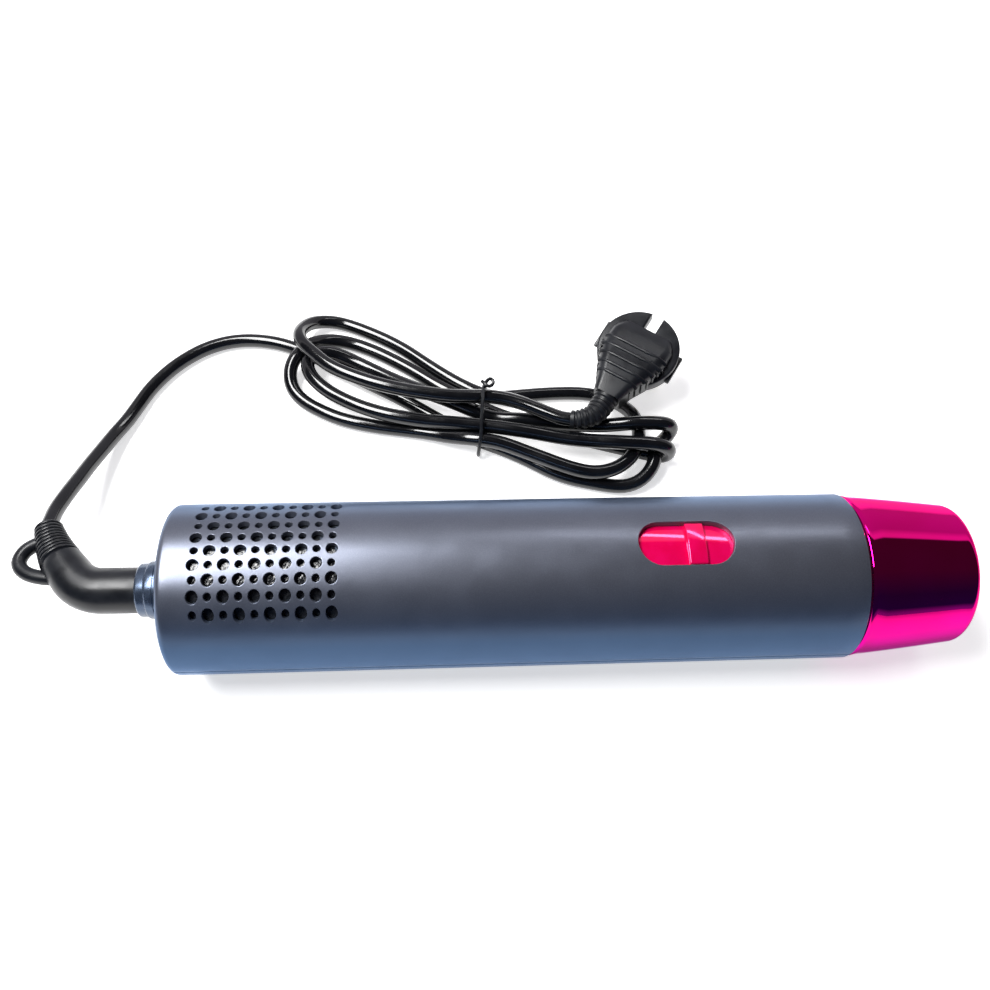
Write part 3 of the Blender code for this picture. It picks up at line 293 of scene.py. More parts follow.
def pieceFrom(bm, name, body, slot, nodes, coat=None, place=None, crease=34):
    if place:
        bmesh.ops.transform(bm, matrix=place, verts=bm.verts)
    mesh = bpy.data.meshes.new(name)
    bm.to_mesh(mesh)
    bm.free()
    mesh.shade_smooth()
    mesh.set_sharp_from_angle(angle=math.radians(crease))
    mesh.materials.append(coat or coats[slot])
    piece = bpy.data.objects.new(name, mesh)
    bpy.context.scene.collection.objects.link(piece)
    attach(piece, body)
    if nodes:
        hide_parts(*nodes)
    return piece


def tidy(bm, within=0.00001):
    bmesh.ops.remove_doubles(bm, verts=bm.verts, dist=within)
    bmesh.ops.recalc_face_normals(bm, faces=bm.faces)


def sharpEdges(bm, angle, keep=None):
    least = math.radians(angle)
    return [
        e for e in bm.edges
        if len(e.link_faces) == 2 and e.calc_face_angle(0) > least and (keep is None or keep(e))
    ]


def soften(bm, edges, width, segments=2):
    if edges:
        bmesh.ops.bevel(
            bm, geom=edges, offset=width, affect="EDGES", segments=segments, profile=0.5, material=-1,
            clamp_overlap=True,
        )


def lathe(bm, profile, steps=96, closed=True):
    # profile points are (along the axis, radius) in mm
    verts = [bm.verts.new((x * mm, 0, r * mm)) for x, r in profile]
    pairs = list(zip(verts, verts[1:])) + ([(verts[-1], verts[0])] if closed else [])
    edges = [bm.edges.new(pair) for pair in pairs]
    bmesh.ops.spin(
        bm, geom=verts + edges, cent=(0, 0, 0), axis=(1, 0, 0), angle=math.tau, steps=steps, use_merge=True,
        use_duplicate=False,
    )


def arcOf(centre, radius, start, end, steps):
    return [
        (
            centre[0] + radius * math.cos(math.radians(start + (end - start) * i / steps)),
            centre[1] + radius * math.sin(math.radians(start + (end - start) * i / steps)),
        )
        for i in range(steps + 1)
    ]


def curveThrough(points, spacing):
    # evenly spaced points on a smooth curve through the given ones
    points = [Vector(p) for p in points]
    ends = [points[0] * 2 - points[1], *points, points[-1] * 2 - points[-2]]
    dense = []
    for a, b, c, d in zip(ends, ends[1:], ends[2:], ends[3:]):
        for i in range(14):
            t = i / 14
            bowed = (a * 2 - b * 5 + c * 4 - d) * t**2 + (b * 3 - a - c * 3 + d) * t**3
            dense.append((b * 2 + (c - a) * t + bowed) / 2)
    dense.append(points[-1])
    lengths = [0.0]
    for near, far in zip(dense, dense[1:]):
        lengths.append(lengths[-1] + (far - near).length)
    count = max(2, round(lengths[-1] / spacing))
    even, at = [], 0
    for i in range(count + 1):
        want = lengths[-1] * i / count
        while at < len(dense) - 2 and lengths[at + 1] < want:
            at += 1
        span = lengths[at + 1] - lengths[at]
        even.append(dense[at].lerp(dense[at + 1], (want - lengths[at]) / span if span else 0))
    return even


def sweep(bm, line, radii, segments=24, flat=1.0):
    # a ring extruded from point to point along the line, turned with it, closed at both ends
    along = (line[1] - line[0]).normalized()
    side = along.orthogonal().normalized()
    first = bmesh.ops.create_circle(bm, cap_ends=False, segments=segments, radius=1.0)["verts"]
    ring = first
    shape = [Vector(v.co) for v in ring]
    rings = []
    for i, point in enumerate(line):
        ahead = (line[min(i + 1, len(line) - 1)] - line[max(i - 1, 0)]).normalized()
        side = (side - ahead * side.dot(ahead)).normalized()
        over = ahead.cross(side)
        if i:
            edges = [e for e in bm.edges if e.verts[0] in known and e.verts[1] in known]
            new = bmesh.ops.extrude_edge_only(bm, edges=edges)["geom"]
            fresh = [v for v in new if isinstance(v, bmesh.types.BMVert)]
            ring = sorted(fresh, key=lambda v: nearest(v, ring))
        for v, at in zip(ring, shape):
            v.co = point + (side * at.x + over * at.y * flat) * radii[i]
        known = set(ring)
        rings.append(ring)
    for ring in (rings[0], rings[-1]):
        bmesh.ops.contextual_create(bm, geom=ring)


def nearest(vert, ring):  # a freshly extruded vertex still lies on the one that it came from
    return min(range(len(ring)), key=lambda i: (ring[i].co - vert.co).length_squared)


# the mains cord: lead, hank and tail are one line
cordSize = {
    "radius": 3.0 * mm,
    "spacing": 2.5 * mm,
    "rest": 3.2 * mm,  # centre height of a run that lies on the table
    "settle": 90,  # passes that part the runs
}
# mm from the rear face, from the axis and above the table
leadIn = [
    (-49.4, 24.6, 27.5), (-50.4, 27.0, 27.1), (-50.8, 36.0, 23.6), (-49.4, 45.6, 20.0), (-47.8, 55.0, 16.0),
    (-46.5, 63.1, 12.5), (-44.8, 70.7, 9.5), (-41.9, 81.3, 6.0), (-38.1, 90.5, 4.2), (-34.9, 98.8, 3.4),
    (-31.6, 107.0, 3.2), (-27.0, 114.0, 3.2), (-22.1, 120.0, 3.2), (-16.7, 124.9, 3.2), (-11.4, 128.8, 3.2),
    (-5.6, 131.6, 3.2), (0.9, 133.6, 3.2), (7.9, 134.2, 3.2), (15.5, 133.6, 3.2), (24.0, 131.6, 3.2),
]
underHank = [
    (33, 127.5, 3.2), (40, 123.5, 3.2), (48, 118.5, 3.2), (57, 113, 3.2), (66, 107.5, 3.2), (75, 102, 3.2),
    (84, 96, 3.2), (93, 89.5, 3.2), (102, 83.5, 3.2), (110, 78.5, 3.2),
]
lowerRight = [
    (118, 75, 3.2), (128, 70, 3.2), (140, 62.5, 3.2), (148, 59, 3.2), (156, 57, 3.2), (164, 55, 3.2),
    (171, 54, 3.6), (177.5, 56, 5.2), (182, 60.5, 6.8), (185, 66, 7.4), (187.4, 71.6, 6.6), (189.8, 76.4, 5.8),
    (192.4, 79.0, 7.2), (193.6, 79.4, 10.0), (192.4, 78.8, 13.4), (188.6, 78.4, 15.6),
]
upperTip = [
    (182, 78.3, 15.6), (175, 78.9, 14.8), (168, 79.6, 12.6), (160, 80.4, 10.6), (152, 81.4, 10.2), (140, 83.5, 8.5),
    (128, 86, 7.2), (115, 88, 6.6),
]
innerLeft = [
    (105, 91.5, 9.0), (96, 96, 9.4), (84, 102, 8.4), (71, 110, 6.5), (58, 118, 6.0), (47, 122.5, 7.6), (39.5, 122, 9.6),
    (35, 117.5, 9.6), (36.6, 110.8, 9.6), (41, 104.8, 9.4), (48, 99.4, 8.6), (59, 93, 9), (71, 88.2, 9.4),
    (84, 85.2, 9.6), (96, 83.4, 9.6), (108, 82, 10.0),
]
lowerTip = [
    (115, 81, 10.4), (124, 79, 11), (134, 76.8, 11.2), (144, 74, 11.6), (154, 71.8, 12.6), (165, 69.6, 14.6),
    (175, 68.4, 15.6), (183, 67.8, 15.8), (188.4, 67.8, 13.6), (189.8, 68.6, 9.6), (187.6, 69.6, 5.0), (181, 71, 3.2),
    (170, 74, 3.2), (160, 77, 3.2), (148, 80.5, 3.2), (135, 84.5, 3.2), (122, 90, 3.2), (112, 95.5, 3.2),
]
outerLeft = [
    (103, 101.5, 3.2), (93, 107.5, 3.2), (82, 116, 3.2), (70, 124, 3.2), (59, 130, 3.2), (48, 133, 4.0),
    (40, 130.4, 6.5), (34.4, 124, 9.4), (29.6, 118.4, 9.0), (27.8, 112, 6.6), (29.6, 105, 4.2), (35, 99.4, 3.2),
    (42, 95, 3.2), (52, 90, 3.2), (68, 86, 3.2), (84, 83.6, 3.2), (96, 79.8, 5.6), (106, 76.0, 8.8),
]
loopRight = [
    (114, 74.6, 9.6), (122, 72, 9.6), (134, 66.5, 8.4), (146, 61, 8), (155, 58, 8.8), (164, 58.6, 9.2),
    (172, 63.4, 9.4),
    (176.6, 70, 9.4), (178.4, 78, 9.4), (177.6, 87, 8.4), (174, 94, 5.5), (167, 100.4, 3.4), (157, 103, 3.2),
    (143, 103, 3.2), (130, 102, 3.2), (118, 100.8, 3.2),
]
topLeft = [
    (110, 104, 3.2), (103, 108, 3.2), (90, 118, 3.2), (77, 129, 3.2), (64, 137, 3.2), (50, 143.6, 3.2), (42, 144, 4.4),
    (36, 140.4, 7.6), (32.8, 134, 11.2), (32, 127.8, 14.2), (34.4, 121.4, 15.8), (40, 116, 16), (46, 109.6, 16),
    (56, 104.2, 16), (66, 100, 16), (78, 96.4, 16), (88, 94.4, 16), (98, 92.6, 16.2), (108, 92.6, 16.0),
]
tailOut = [
    (117, 92.8, 15.6), (127, 89.8, 15.6), (135.5, 85.2, 15.9), (143.5, 81.0, 16.4), (151.0, 79.4, 17.2),
    (157.4, 81.0, 17.8), (161.1, 85.1, 18.2), (162.5, 87.1, 18.9),
]


def settleRuns(line, held):
    # the runs push each other apart until they lie a diameter apart, on or above the table
    place = np.array([tuple(p) for p in line])
    drawn = place.copy()
    count = len(place)
    apart = 2.02 * cordSize["radius"]
    far = round(4.2 * apart / cordSize["spacing"])  # nearer along the cord than this is the same bend
    index = np.arange(count)
    other = np.abs(index[:, None] - index[None, :]) > far
    free = np.ones(count)
    free[: held[0]] = 0
    free[count - held[1] :] = 0
    for turn in range(cordSize["settle"]):
        gap = place[:, None, :] - place[None, :, :]
        reach = np.sqrt((gap**2).sum(axis=2)) + 1e-9
        short = np.where(other & (reach < apart), apart - reach, 0)
        push = (gap / reach[:, :, None] * short[:, :, None]).sum(axis=1) * 0.22
        push[:, 2] *= 1.3
        place += push * free[:, None]
        middle = place.copy()
        middle[1:-1] = (place[:-2] + place[2:]) / 2
        place += (middle - place) * 0.16 * free[:, None]
        place += (drawn - place) * 0.035 * free[:, None]
        place[:, 2] = np.maximum(place[:, 2], cordSize["rest"])
    return [Vector(p) for p in place]


def addCord():
    route = leadIn + underHank + lowerRight + upperTip + innerLeft
    route = route + lowerTip + outerLeft + loopRight + topLeft + tailOut
    line = curveThrough([Vector(p) * mm for p in route], cordSize["spacing"])
    line = settleRuns(line, (30, 10))
    line = curveThrough(line, 2.0 * mm)
    data = bpy.data.curves.new("mainsCord", "CURVE")
    data.dimensions = "3D"
    data.bevel_depth = cordSize["radius"]
    data.bevel_resolution = 5
    data.use_fill_caps = True
    spline = data.splines.new("POLY")
    spline.points.add(len(line) - 1)
    for point, at in zip(spline.points, line):
        point.co = (*(tableFrame @ at), 1)
    spline.use_smooth = True
    data.materials.append(coats["cord_rubber"])
    piece = bpy.data.objects.new("mainsCord", data)
    bpy.context.scene.collection.objects.link(piece)
    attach(piece, "cord_set")
    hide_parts("cord_lead", "cord_hank", "cord_tail")
    length = sum((b - a).length for a, b in zip(line, line[1:]))
    print("cord length", round(length, 4))
    return piece, tableFrame @ line[0]


mainsCord, cordExit = addCord()


# the tie is a thin wire round the waist of the hank, its ends twisted on top
tieSize = {"wire": 0.75, "at": 112.0}


def addTie():
    bm = bmesh.new()
    low, high = 71.2, 108.6
    slant = 0.12  # the wire leans along the cord from its low side to its high side
    ring = [
        (0, low + 1.5, 1.0), (0, low, 4), (0.3, low + 1, 9), (0.5, low + 5, 14.0), (0.2, 82, 17.5), (0, 88, 19.8),
        (-0.2, 93, 20.2), (0, 97.5, 18.5), (0.2, 101.5, 12), (0.3, high - 3, 7.8), (0, high - 0.4, 4.0),
        (0, high - 1.6, 1.0), (0, 98, 0.9), (0, 85, 0.9), (0, 75, 0.9), (0, low + 1.5, 1.0),
    ]
    line = curveThrough([Vector((tieSize["at"] + x + (y - 92) * slant, y, z)) * mm for x, y, z in ring], 1.2 * mm)
    sweep(bm, line, [tieSize["wire"] * mm] * len(line), 10)
    knot = [
        (0.4, 94, 20.6), (1.4, 96.4, 21.4), (3.0, 97.6, 21.6), (4.2, 96.4, 21.2), (3.6, 94.8, 20.8), (2.0, 94.2, 20.9),
        (0.6, 95.4, 21.2), (-0.6, 96.8, 20.9),
    ]
    line = curveThrough([Vector((tieSize["at"] + x, y, z)) * mm for x, y, z in knot], 0.9 * mm)
    sweep(bm, line, [tieSize["wire"] * mm] * len(line), 10)
    tidy(bm)
    return pieceFrom(bm, "cordTie", "cord_set", "cord_rubber", ["cord_tie"], coats["black_plastic"], tableFrame)


addTie()
print("cord and tie made")


plugSize = {
    "disc": 17.65,
    "rim": 6.5,
    "notchHalf": 2.7,
    "notchDepth": 7.6,
    "grips": 5,
}
plugFrame = (
    tableFrame @ Matrix.Translation((179.8 * mm, 111.8 * mm, 19.07 * mm))
    @ Matrix.Rotation(math.radians(55), 4, "Z") @ Matrix.Rotation(math.radians(-15), 4, "Y")
)


def roundedSection(half, low, top, count=7):
    # half a section from the middle of the top round to the middle of the base, mirrored by the caller
    corner = min(half * 0.42, (top - low) * 0.45)
    out = [(0, top)]
    out += [(half - corner + x, top - corner + z) for z, x in arcOf((0, 0), corner, 0, 90, count)]
    out += [(half, low), (0, low)]
    return out


def addPlug():
    bm = bmesh.new()
    disc, half = plugSize["disc"], plugSize["notchHalf"]
    reach = math.degrees(math.asin(half / disc))
    outline = arcOf((0, 0), disc, reach, 360 - reach, 72)
    outline += arcOf((disc - plugSize["notchDepth"], 0), half, -90, -270, 8)
    verts = [bm.verts.new((x * mm, y * mm, 0)) for x, y in outline]
    face = bm.faces.new(verts)
    raised = bmesh.ops.extrude_face_region(bm, geom=[face])["geom"]
    raisedVerts = [v for v in raised if isinstance(v, bmesh.types.BMVert)]
    bmesh.ops.translate(bm, vec=(0, 0, plugSize["rim"] * mm), verts=raisedVerts)
    bmesh.ops.recalc_face_normals(bm, faces=bm.faces)
    soften(bm, [e for e in sharpEdges(bm, 60) if abs(e.verts[0].co.z - e.verts[1].co.z) < 1e-6], 0.9 * mm, 3)

    stations = [
        (9, 11.5, 7.5), (6, 13.4, 9.4), (3, 14.5, 10.5), (-3, 14.5, 12.2), (-7, 14, 13), (-14, 11.5, 13.5),
        (-21, 8, 13.5), (-27.2, 6, 13),
    ]
    rings = []
    for x, wide, top in stations:
        low = 1.0 if x > -15 else 2.0
        side = roundedSection(wide, low, top)
        section = side + [(-y, z) for y, z in reversed(side[1:-1])]
        rings.append([bm.verts.new((x * mm, y * mm, z * mm)) for y, z in section])
    for ring in rings:
        for a, b in zip(ring, ring[1:] + ring[:1]):
            bm.edges.new((a, b))
    for near, far in zip(rings, rings[1:]):
        loops = [bm.edges.get((a, b)) for ring in (near, far) for a, b in zip(ring, ring[1:] + ring[:1])]
        bmesh.ops.bridge_loops(bm, edges=loops)
    bm.faces.new(rings[0])
    bm.faces.new(rings[-1])
    bmesh.ops.recalc_face_normals(bm, faces=bm.faces)

    for number in range(plugSize["grips"]):  # ridges across the back for the fingers
        x = -2.5 - 4.0 * number
        wide = np.interp(-x, (3, 7, 14, 21), (14.5, 14, 11.5, 8))
        top = np.interp(-x, (3, 7, 14, 21), (12.2, 13, 13.5, 13.5))
        shares = (-0.97, -0.9, -0.75, -0.5, -0.25, 0, 0.25, 0.5, 0.75, 0.9, 0.97)
        bend = [(x, y * wide, top - 0.35 - (abs(y) ** 5) * 3.2) for y in shares]
        line = curveThrough([Vector(p) * mm for p in bend], 1.2 * mm)
        sweep(bm, line, [0.95 * mm] * len(line), 10)
    for side in (-1, 1):  # thumb tabs on the rim and fine ribs down the flanks
        tab = bmesh.ops.create_cube(bm, size=1.0)["verts"]
        bmesh.ops.scale(bm, vec=(13 * mm, 2.0 * mm, 2.2 * mm), verts=tab)
        bmesh.ops.translate(bm, vec=(0, side * (disc - 0.35) * mm, 2.2 * mm), verts=tab)
        edges = list({e for v in tab for e in v.link_edges})
        soften(bm, edges, 0.5 * mm, 2)
        for number in range(7):
            x = -5.5 - 2.7 * number
            wide = np.interp(-x, (3, 7, 14, 21, 27), (14.5, 14, 11.5, 8, 6))
            line = [Vector((x, side * wide, z)) * mm for z in (3.5, 6, 8.5, 10.5)]
            sweep(bm, line, [0.55 * mm, 0.6 * mm, 0.6 * mm, 0.4 * mm], 8)
    return pieceFrom(bm, "plugBody", "cord_set", "black_plastic", ["plug_body"], coats["black_plastic"], plugFrame, 40)


def addPlugRelief():
    bm = bmesh.new()
    toTable = tableFrame.inverted() @ plugFrame
    start = toTable @ (Vector((-26.6, 0, 7.5)) * mm)
    out = (toTable.to_3x3() @ Vector((-1, 0, 0))).normalized()
    cordward = ((157.4, 81.0, 17.8), (151.0, 79.4, 17.2), (145, 80.4, 16.5))
    route = [start, start + out * 2 * mm, start + out * 5 * mm] + [Vector(p) * mm for p in cordward]
    line = curveThrough(route, 0.45 * mm)
    length = 20.5 * mm
    line = [p for i, p in enumerate(line) if i * 0.45 * mm <= length]
    radii = []
    for i in range(len(line)):
        share = i / (len(line) - 1)
        rib = 0.5 if (i % 5) in (0, 1) and 2 < i < len(line) - 3 else 0.0  # a groove between ribs
        radii.append((5.5 - 1.7 * share - rib) * mm)
    sweep(bm, line, radii, 28)
    tidy(bm, 1e-6)
    return pieceFrom(bm, "plugRelief", "cord_set", "black_plastic", ["plug_relief"], ribbedBlack, tableFrame, 28)


plugBody = addPlug()
plugRelief = addPlugRelief()
print("plug made")


# the elbow with its ribs and hanging loop; lengths in mm
elbowSize = {"ribs": 10, "pitch": 1.75, "straight": 25.5, "bend": 15.0, "neck": 8.5}


ribProfile = ((0.06, 0.62), (0.2, 0.85), (0.34, 0.62), (0.46, 0.12), (0.6, 0.0), (0.8, 0.0), (0.95, 0.14))


def elbowLine():
    points = [(Vector((9.2, 0, 0)), 8.1), (Vector((-elbowSize["straight"], 0, 0)), 8.1)]
    for i in range(1, 13):
        angle = math.radians(48) * i / 12
        bend = elbowSize["bend"]
        turned = Vector((-elbowSize["straight"] - bend * math.sin(angle), bend * (1 - math.cos(angle)), 0))
        points.append((turned, 8.1 - 0.3 * i / 12))
    at = bendEnd = points[-1][0]
    turn = math.radians(20) / (elbowSize["neck"] + elbowSize["ribs"] * elbowSize["pitch"])
    angle = math.radians(48) + turn * elbowSize["neck"] / 2
    ahead = Vector((-math.cos(angle), math.sin(angle), 0))
    for i in range(1, 5):
        points.append((at + ahead * elbowSize["neck"] * i / 4, 7.8 - 0.6 * i / 4))
    at = points[-1][0]
    angle += turn * (elbowSize["neck"] + elbowSize["pitch"]) / 2
    level, drop = math.cos(math.radians(9)), math.sin(math.radians(9))
    for rib in range(elbowSize["ribs"]):
        heading = Vector((-math.cos(angle) * level, math.sin(angle) * level, -drop))
        radius = 7.2 - 2.2 * rib / (elbowSize["ribs"] - 1)
        for share, inset in ribProfile:
            points.append((at + heading * elbowSize["pitch"] * share, radius - inset))
        at = at + heading * elbowSize["pitch"]
        angle += turn * elbowSize["pitch"]
    points.append((at, radius - 0.3))
    return points, bendEnd


def addElbow():
    bm = bmesh.new()
    points, bendEnd = elbowLine()
    sweep(bm, [p * mm for p, _ in points], [r * mm for _, r in points], 48)
    loop = [
        (-10.9, 16.5, -1.6), (-15.9, 14.6, -1.5), (-19.4, 11.6, -1.2), (-20.5, 7.3, -0.9), (-18.3, 3.6, -0.6),
        (-13.9, 1.4, -0.4), (-7.9, 0.3, -0.2), (-2.4, 0.5, 0.0),
    ]
    line = curveThrough([(bendEnd + Vector(p)) * mm for p in loop], 1.0 * mm)
    sweep(bm, line, [2.6 * mm] * len(line), 18)
    bmesh.ops.recalc_face_normals(bm, faces=bm.faces)
    coat = coats["black_plastic"]
    return pieceFrom(bm, "cordElbow", "cord_set", "black_plastic", ["cord_elbow"], coat, axisFrame, 30)


addElbow()
print("elbow made")


# each body shell is a sheet laid out flat, wrapped round the axis and thickened
shellSize = {
    "radius": 29.9,
    "wall": 2.2,
    "length": 237.4,
    "round": 2.6,
    "hole": 10.6,  # in the rear wall
    "pitch": 4.96,  # of the vents
    "columns": 10,
    "rows": 9,
    "firstVent": 12.5,
    "large": 2.0,
    "small": 1.3,
    "windowAt": 175.6,
    "windowLength": 33.0,
    "windowWidth": 16.4,
    "rim": 0.2,
}


def wrapSheet(bm, turned):
    # flat (along, round the girth as an angle) to the body's surface, with the rear edge rolled over
    radius, roll = shellSize["radius"], shellSize["round"]
    for v in bm.verts:
        along, angle = v.co.x / mm, v.co.y
        if along >= roll:
            x, r = along, radius
        else:
            a = min((roll - along) / roll, math.pi / 2)
            x, r = roll * (1 - math.sin(a)), radius - roll * (1 - math.cos(a))
            r -= max(0.0, (roll - along) - roll * math.pi / 2)
        angle += math.pi if turned else 0
        v.co = Vector((x, -r * math.sin(angle), r * math.cos(angle))) * mm


def ventCell(bm, x, row, radius, count):
    half = shellSize["pitch"] / 2
    middle = row * shellSize["pitch"]
    hole, rim, frameLoop = [], [], []
    outer = radius + shellSize["rim"] + 0.06
    for i in range(4 * count):
        a = math.radians(45) + math.tau * i / (4 * count)
        hole.append((x + radius * math.cos(a), middle + radius * math.sin(a)))
        rim.append((x + outer * math.cos(a), middle + outer * math.sin(a)))
        side, step = divmod(i, count)
        t = -1 + 2 * step / count
        edge = ((-t, 1), (-1, -t), (t, -1), (1, t))[side]
        frameLoop.append((x + half * edge[0], middle + half * edge[1]))
    made = []
    for loop in (hole, rim, frameLoop):
        verts = [bm.verts.new((px * mm, math.asin(max(-1, min(1, py / shellSize["radius"]))), 0)) for px, py in loop]
        made.append([bm.edges.new((a, b)) for a, b in zip(verts, verts[1:] + verts[:1])])
    bmesh.ops.bridge_loops(bm, edges=made[0] + made[1])
    bmesh.ops.bridge_loops(bm, edges=made[1] + made[2])


def addShell(name, node, halfAngle, turned, window):
    bm = bmesh.new()
    per = 4
    pitch, radius = shellSize["pitch"], shellSize["radius"]
    ventHalf = shellSize["rows"] * pitch / 2
    ventStart = shellSize["firstVent"] - pitch / 2
    ventEnd = ventStart + shellSize["columns"] * pitch
    inner = [math.asin((-ventHalf + pitch / per * i) / radius) for i in range(shellSize["rows"] * per + 1)]
    edge = inner[-1]
    steps = 18
    outer = [edge + (halfAngle - edge) * i / steps for i in range(1, steps + 1)]
    girth = [-a for a in reversed(outer)] + inner + outer
    roll = shellSize["round"]
    rear = roll - roll * math.pi / 2
    stations = [rear - (radius - roll - shellSize["hole"]), rear - 8, rear - 2]
    stations += [rear + roll * math.pi / 2 * i / 8 for i in range(9)] + [4.5, 7.0]
    stations += [ventStart + pitch / per * i for i in range(shellSize["columns"] * per + 1)]
    windowStart, windowEnd = shellSize["windowAt"] - 20, shellSize["windowAt"] + 20
    stations += [ventEnd + (windowStart - ventEnd) * i / 10 for i in range(1, 10)]
    stations += [windowStart + 40 * i / 20 for i in range(21)]
    stations += [windowEnd + (shellSize["length"] - windowEnd) * i / 6 for i in range(1, 7)]
    # one row of vertices, drawn out along the body
    row = [bm.verts.new((stations[0] * mm, a, 0)) for a in girth]
    edges = [bm.edges.new(pair) for pair in zip(row, row[1:])]
    for near, far in zip(stations, stations[1:]):
        drawn = bmesh.ops.extrude_edge_only(bm, edges=edges)["geom"]
        verts = [g for g in drawn if isinstance(g, bmesh.types.BMVert)]
        edges = [g for g in drawn if isinstance(g, bmesh.types.BMEdge)]
        edges = [e for e in edges if e.verts[0] in set(verts) and e.verts[1] in set(verts)]
        bmesh.ops.translate(bm, vec=((far - near) * mm, 0, 0), verts=verts)

    def middle(face):
        centre = face.calc_center_median()
        return centre.x / mm, math.sin(centre.y) * radius if abs(centre.y) < 1.5 else 99

    def inVents(face):
        x, y = middle(face)
        return ventStart < x < ventEnd and abs(y) < ventHalf

    windowHalf = pitch * 2.5

    def inWindow(face):
        x, y = middle(face)
        return window and windowStart < x < windowEnd and abs(y) < windowHalf

    cut = [f for f in bm.faces if inVents(f) or inWindow(f)]
    bmesh.ops.delete(bm, geom=cut, context="FACES")
    for column in range(shellSize["columns"]):
        for line in range(shellSize["rows"]):
            size = shellSize["large"] if (column + line) % 2 else shellSize["small"]
            ventCell(bm, shellSize["firstVent"] + column * pitch, 4 - line, size, per)
    if window:  # the opening's edge is drawn in from the square one left in the sheet
        halfWide, reach = shellSize["windowWidth"] / 2, shellSize["windowLength"] / 2
        centre = shellSize["windowAt"]
        border = [
            e for e in bm.edges
            if len(e.link_faces) == 1 and all(
                windowStart - 0.1 < v.co.x / mm < windowEnd + 0.1 and abs(math.sin(v.co.y) * radius) < windowHalf + 0.05
                and abs(v.co.y) < 1.5 for v in e.verts
            )
        ]
        for share in (0.5, 0.92, 1.0):
            drawn = bmesh.ops.extrude_edge_only(bm, edges=border)["geom"]
            fresh = {g for g in drawn if isinstance(g, bmesh.types.BMVert)}
            border = [g for g in drawn if isinstance(g, bmesh.types.BMEdge) and set(g.verts) <= fresh]
            for v in fresh:
                at = Vector((v.co.x / mm - centre, math.sin(v.co.y) * radius))
                core = Vector((max(halfWide - reach, min(reach - halfWide, at.x)), 0))
                to = at.lerp(core + (at - core).normalized() * halfWide, share)
                v.co = ((to.x + centre) * mm, math.asin(to.y / radius), 0)
    bmesh.ops.remove_doubles(bm, verts=bm.verts, dist=0.000004)
    wrapSheet(bm, turned)
    bmesh.ops.remove_doubles(bm, verts=bm.verts, dist=0.00001)
    bmesh.ops.recalc_face_normals(bm, faces=bm.faces)
    bm.faces.ensure_lookup_table()
    sample = max(bm.faces, key=lambda f: f.calc_area())
    outward = Vector((0, sample.calc_center_median().y, sample.calc_center_median().z))
    if sample.normal.dot(outward) < 0:
        bmesh.ops.reverse_faces(bm, faces=bm.faces)
    bmesh.ops.solidify(bm, geom=bm.faces[:], thickness=shellSize["wall"] * mm)
    bm.normal_update()

    def outside(e):  # rims that show: on the outer skin
        return all(v.co.x < 0.3 * mm or math.hypot(v.co.y, v.co.z) > (radius - 0.4) * mm for v in e.verts)

    soften(bm, sharpEdges(bm, 50, outside), shellSize["rim"] * mm, 2)
    return pieceFrom(bm, name, "handle", "body_paint", [node], coats["body_paint"], axisFrame, 40)


addShell("upperShell", "upper_shell", math.acos(-2.45 / 30), False, True)
addShell("lowerShell", "lower_shell", math.acos(2.75 / 30), True, False)
print("shells made")


# the screen behind the vents, one curved sheet to each half of the body; reach in degrees
screenSize = {"radius": 27.3, "thick": 0.5, "start": 8.0, "end": 62.5, "reach": 53.0}


def addScreen():
    bm = bmesh.new()
    for turn in (0.0, math.pi):
        made = bmesh.ops.create_grid(bm, x_segments=20, y_segments=36, size=0.5)["verts"]
        for v in made:
            along = screenSize["start"] + (screenSize["end"] - screenSize["start"]) * (v.co.x + 0.5)
            angle = math.radians(2 * screenSize["reach"] * v.co.y) + turn
            radius = screenSize["radius"]
            v.co = Vector((along, -radius * math.sin(angle), radius * math.cos(angle))) * mm
    bmesh.ops.recalc_face_normals(bm, faces=bm.faces)
    bmesh.ops.solidify(bm, geom=bm.faces[:], thickness=screenSize["thick"] * mm)
    return pieceFrom(bm, "inletScreen", "handle", "black_plastic", [], coats["screen"], axisFrame, 40)


addScreen()


def addCollar():
    bm = bmesh.new()
    profile = [
        (-12.5, 8.4), (-12.5, 8.7), (-12.35, 9.0), (-11.9, 9.4), (-11.6, 9.5), (-9.5, 9.5), (-9.2, 9.56), (-8.7, 10.1),
        (-8.4, 10.2), (-6.2, 10.2), (-6.0, 10.02), (-5.6, 10.02), (-5.4, 10.2), (-2.6, 10.2), (-2.4, 10.05),
        (-2.1, 10.05),
        (-1.9, 10.2), (-0.5, 10.2), (-0.3, 10.0), (3.3, 9.7), (3.3, 13), (6.3, 13), (6.3, 8.4),
    ]
    lathe(bm, profile, 96)
    tidy(bm)
    return pieceFrom(bm, "swivelCollar", "handle", "body_paint", ["swivel_bush"], collarSatin, axisFrame, 30)


addCollar()


nozzleSize = {"length": 42.0, "back": 29.3, "front": 25.0, "tip": 3.4, "outlet": 19.0}


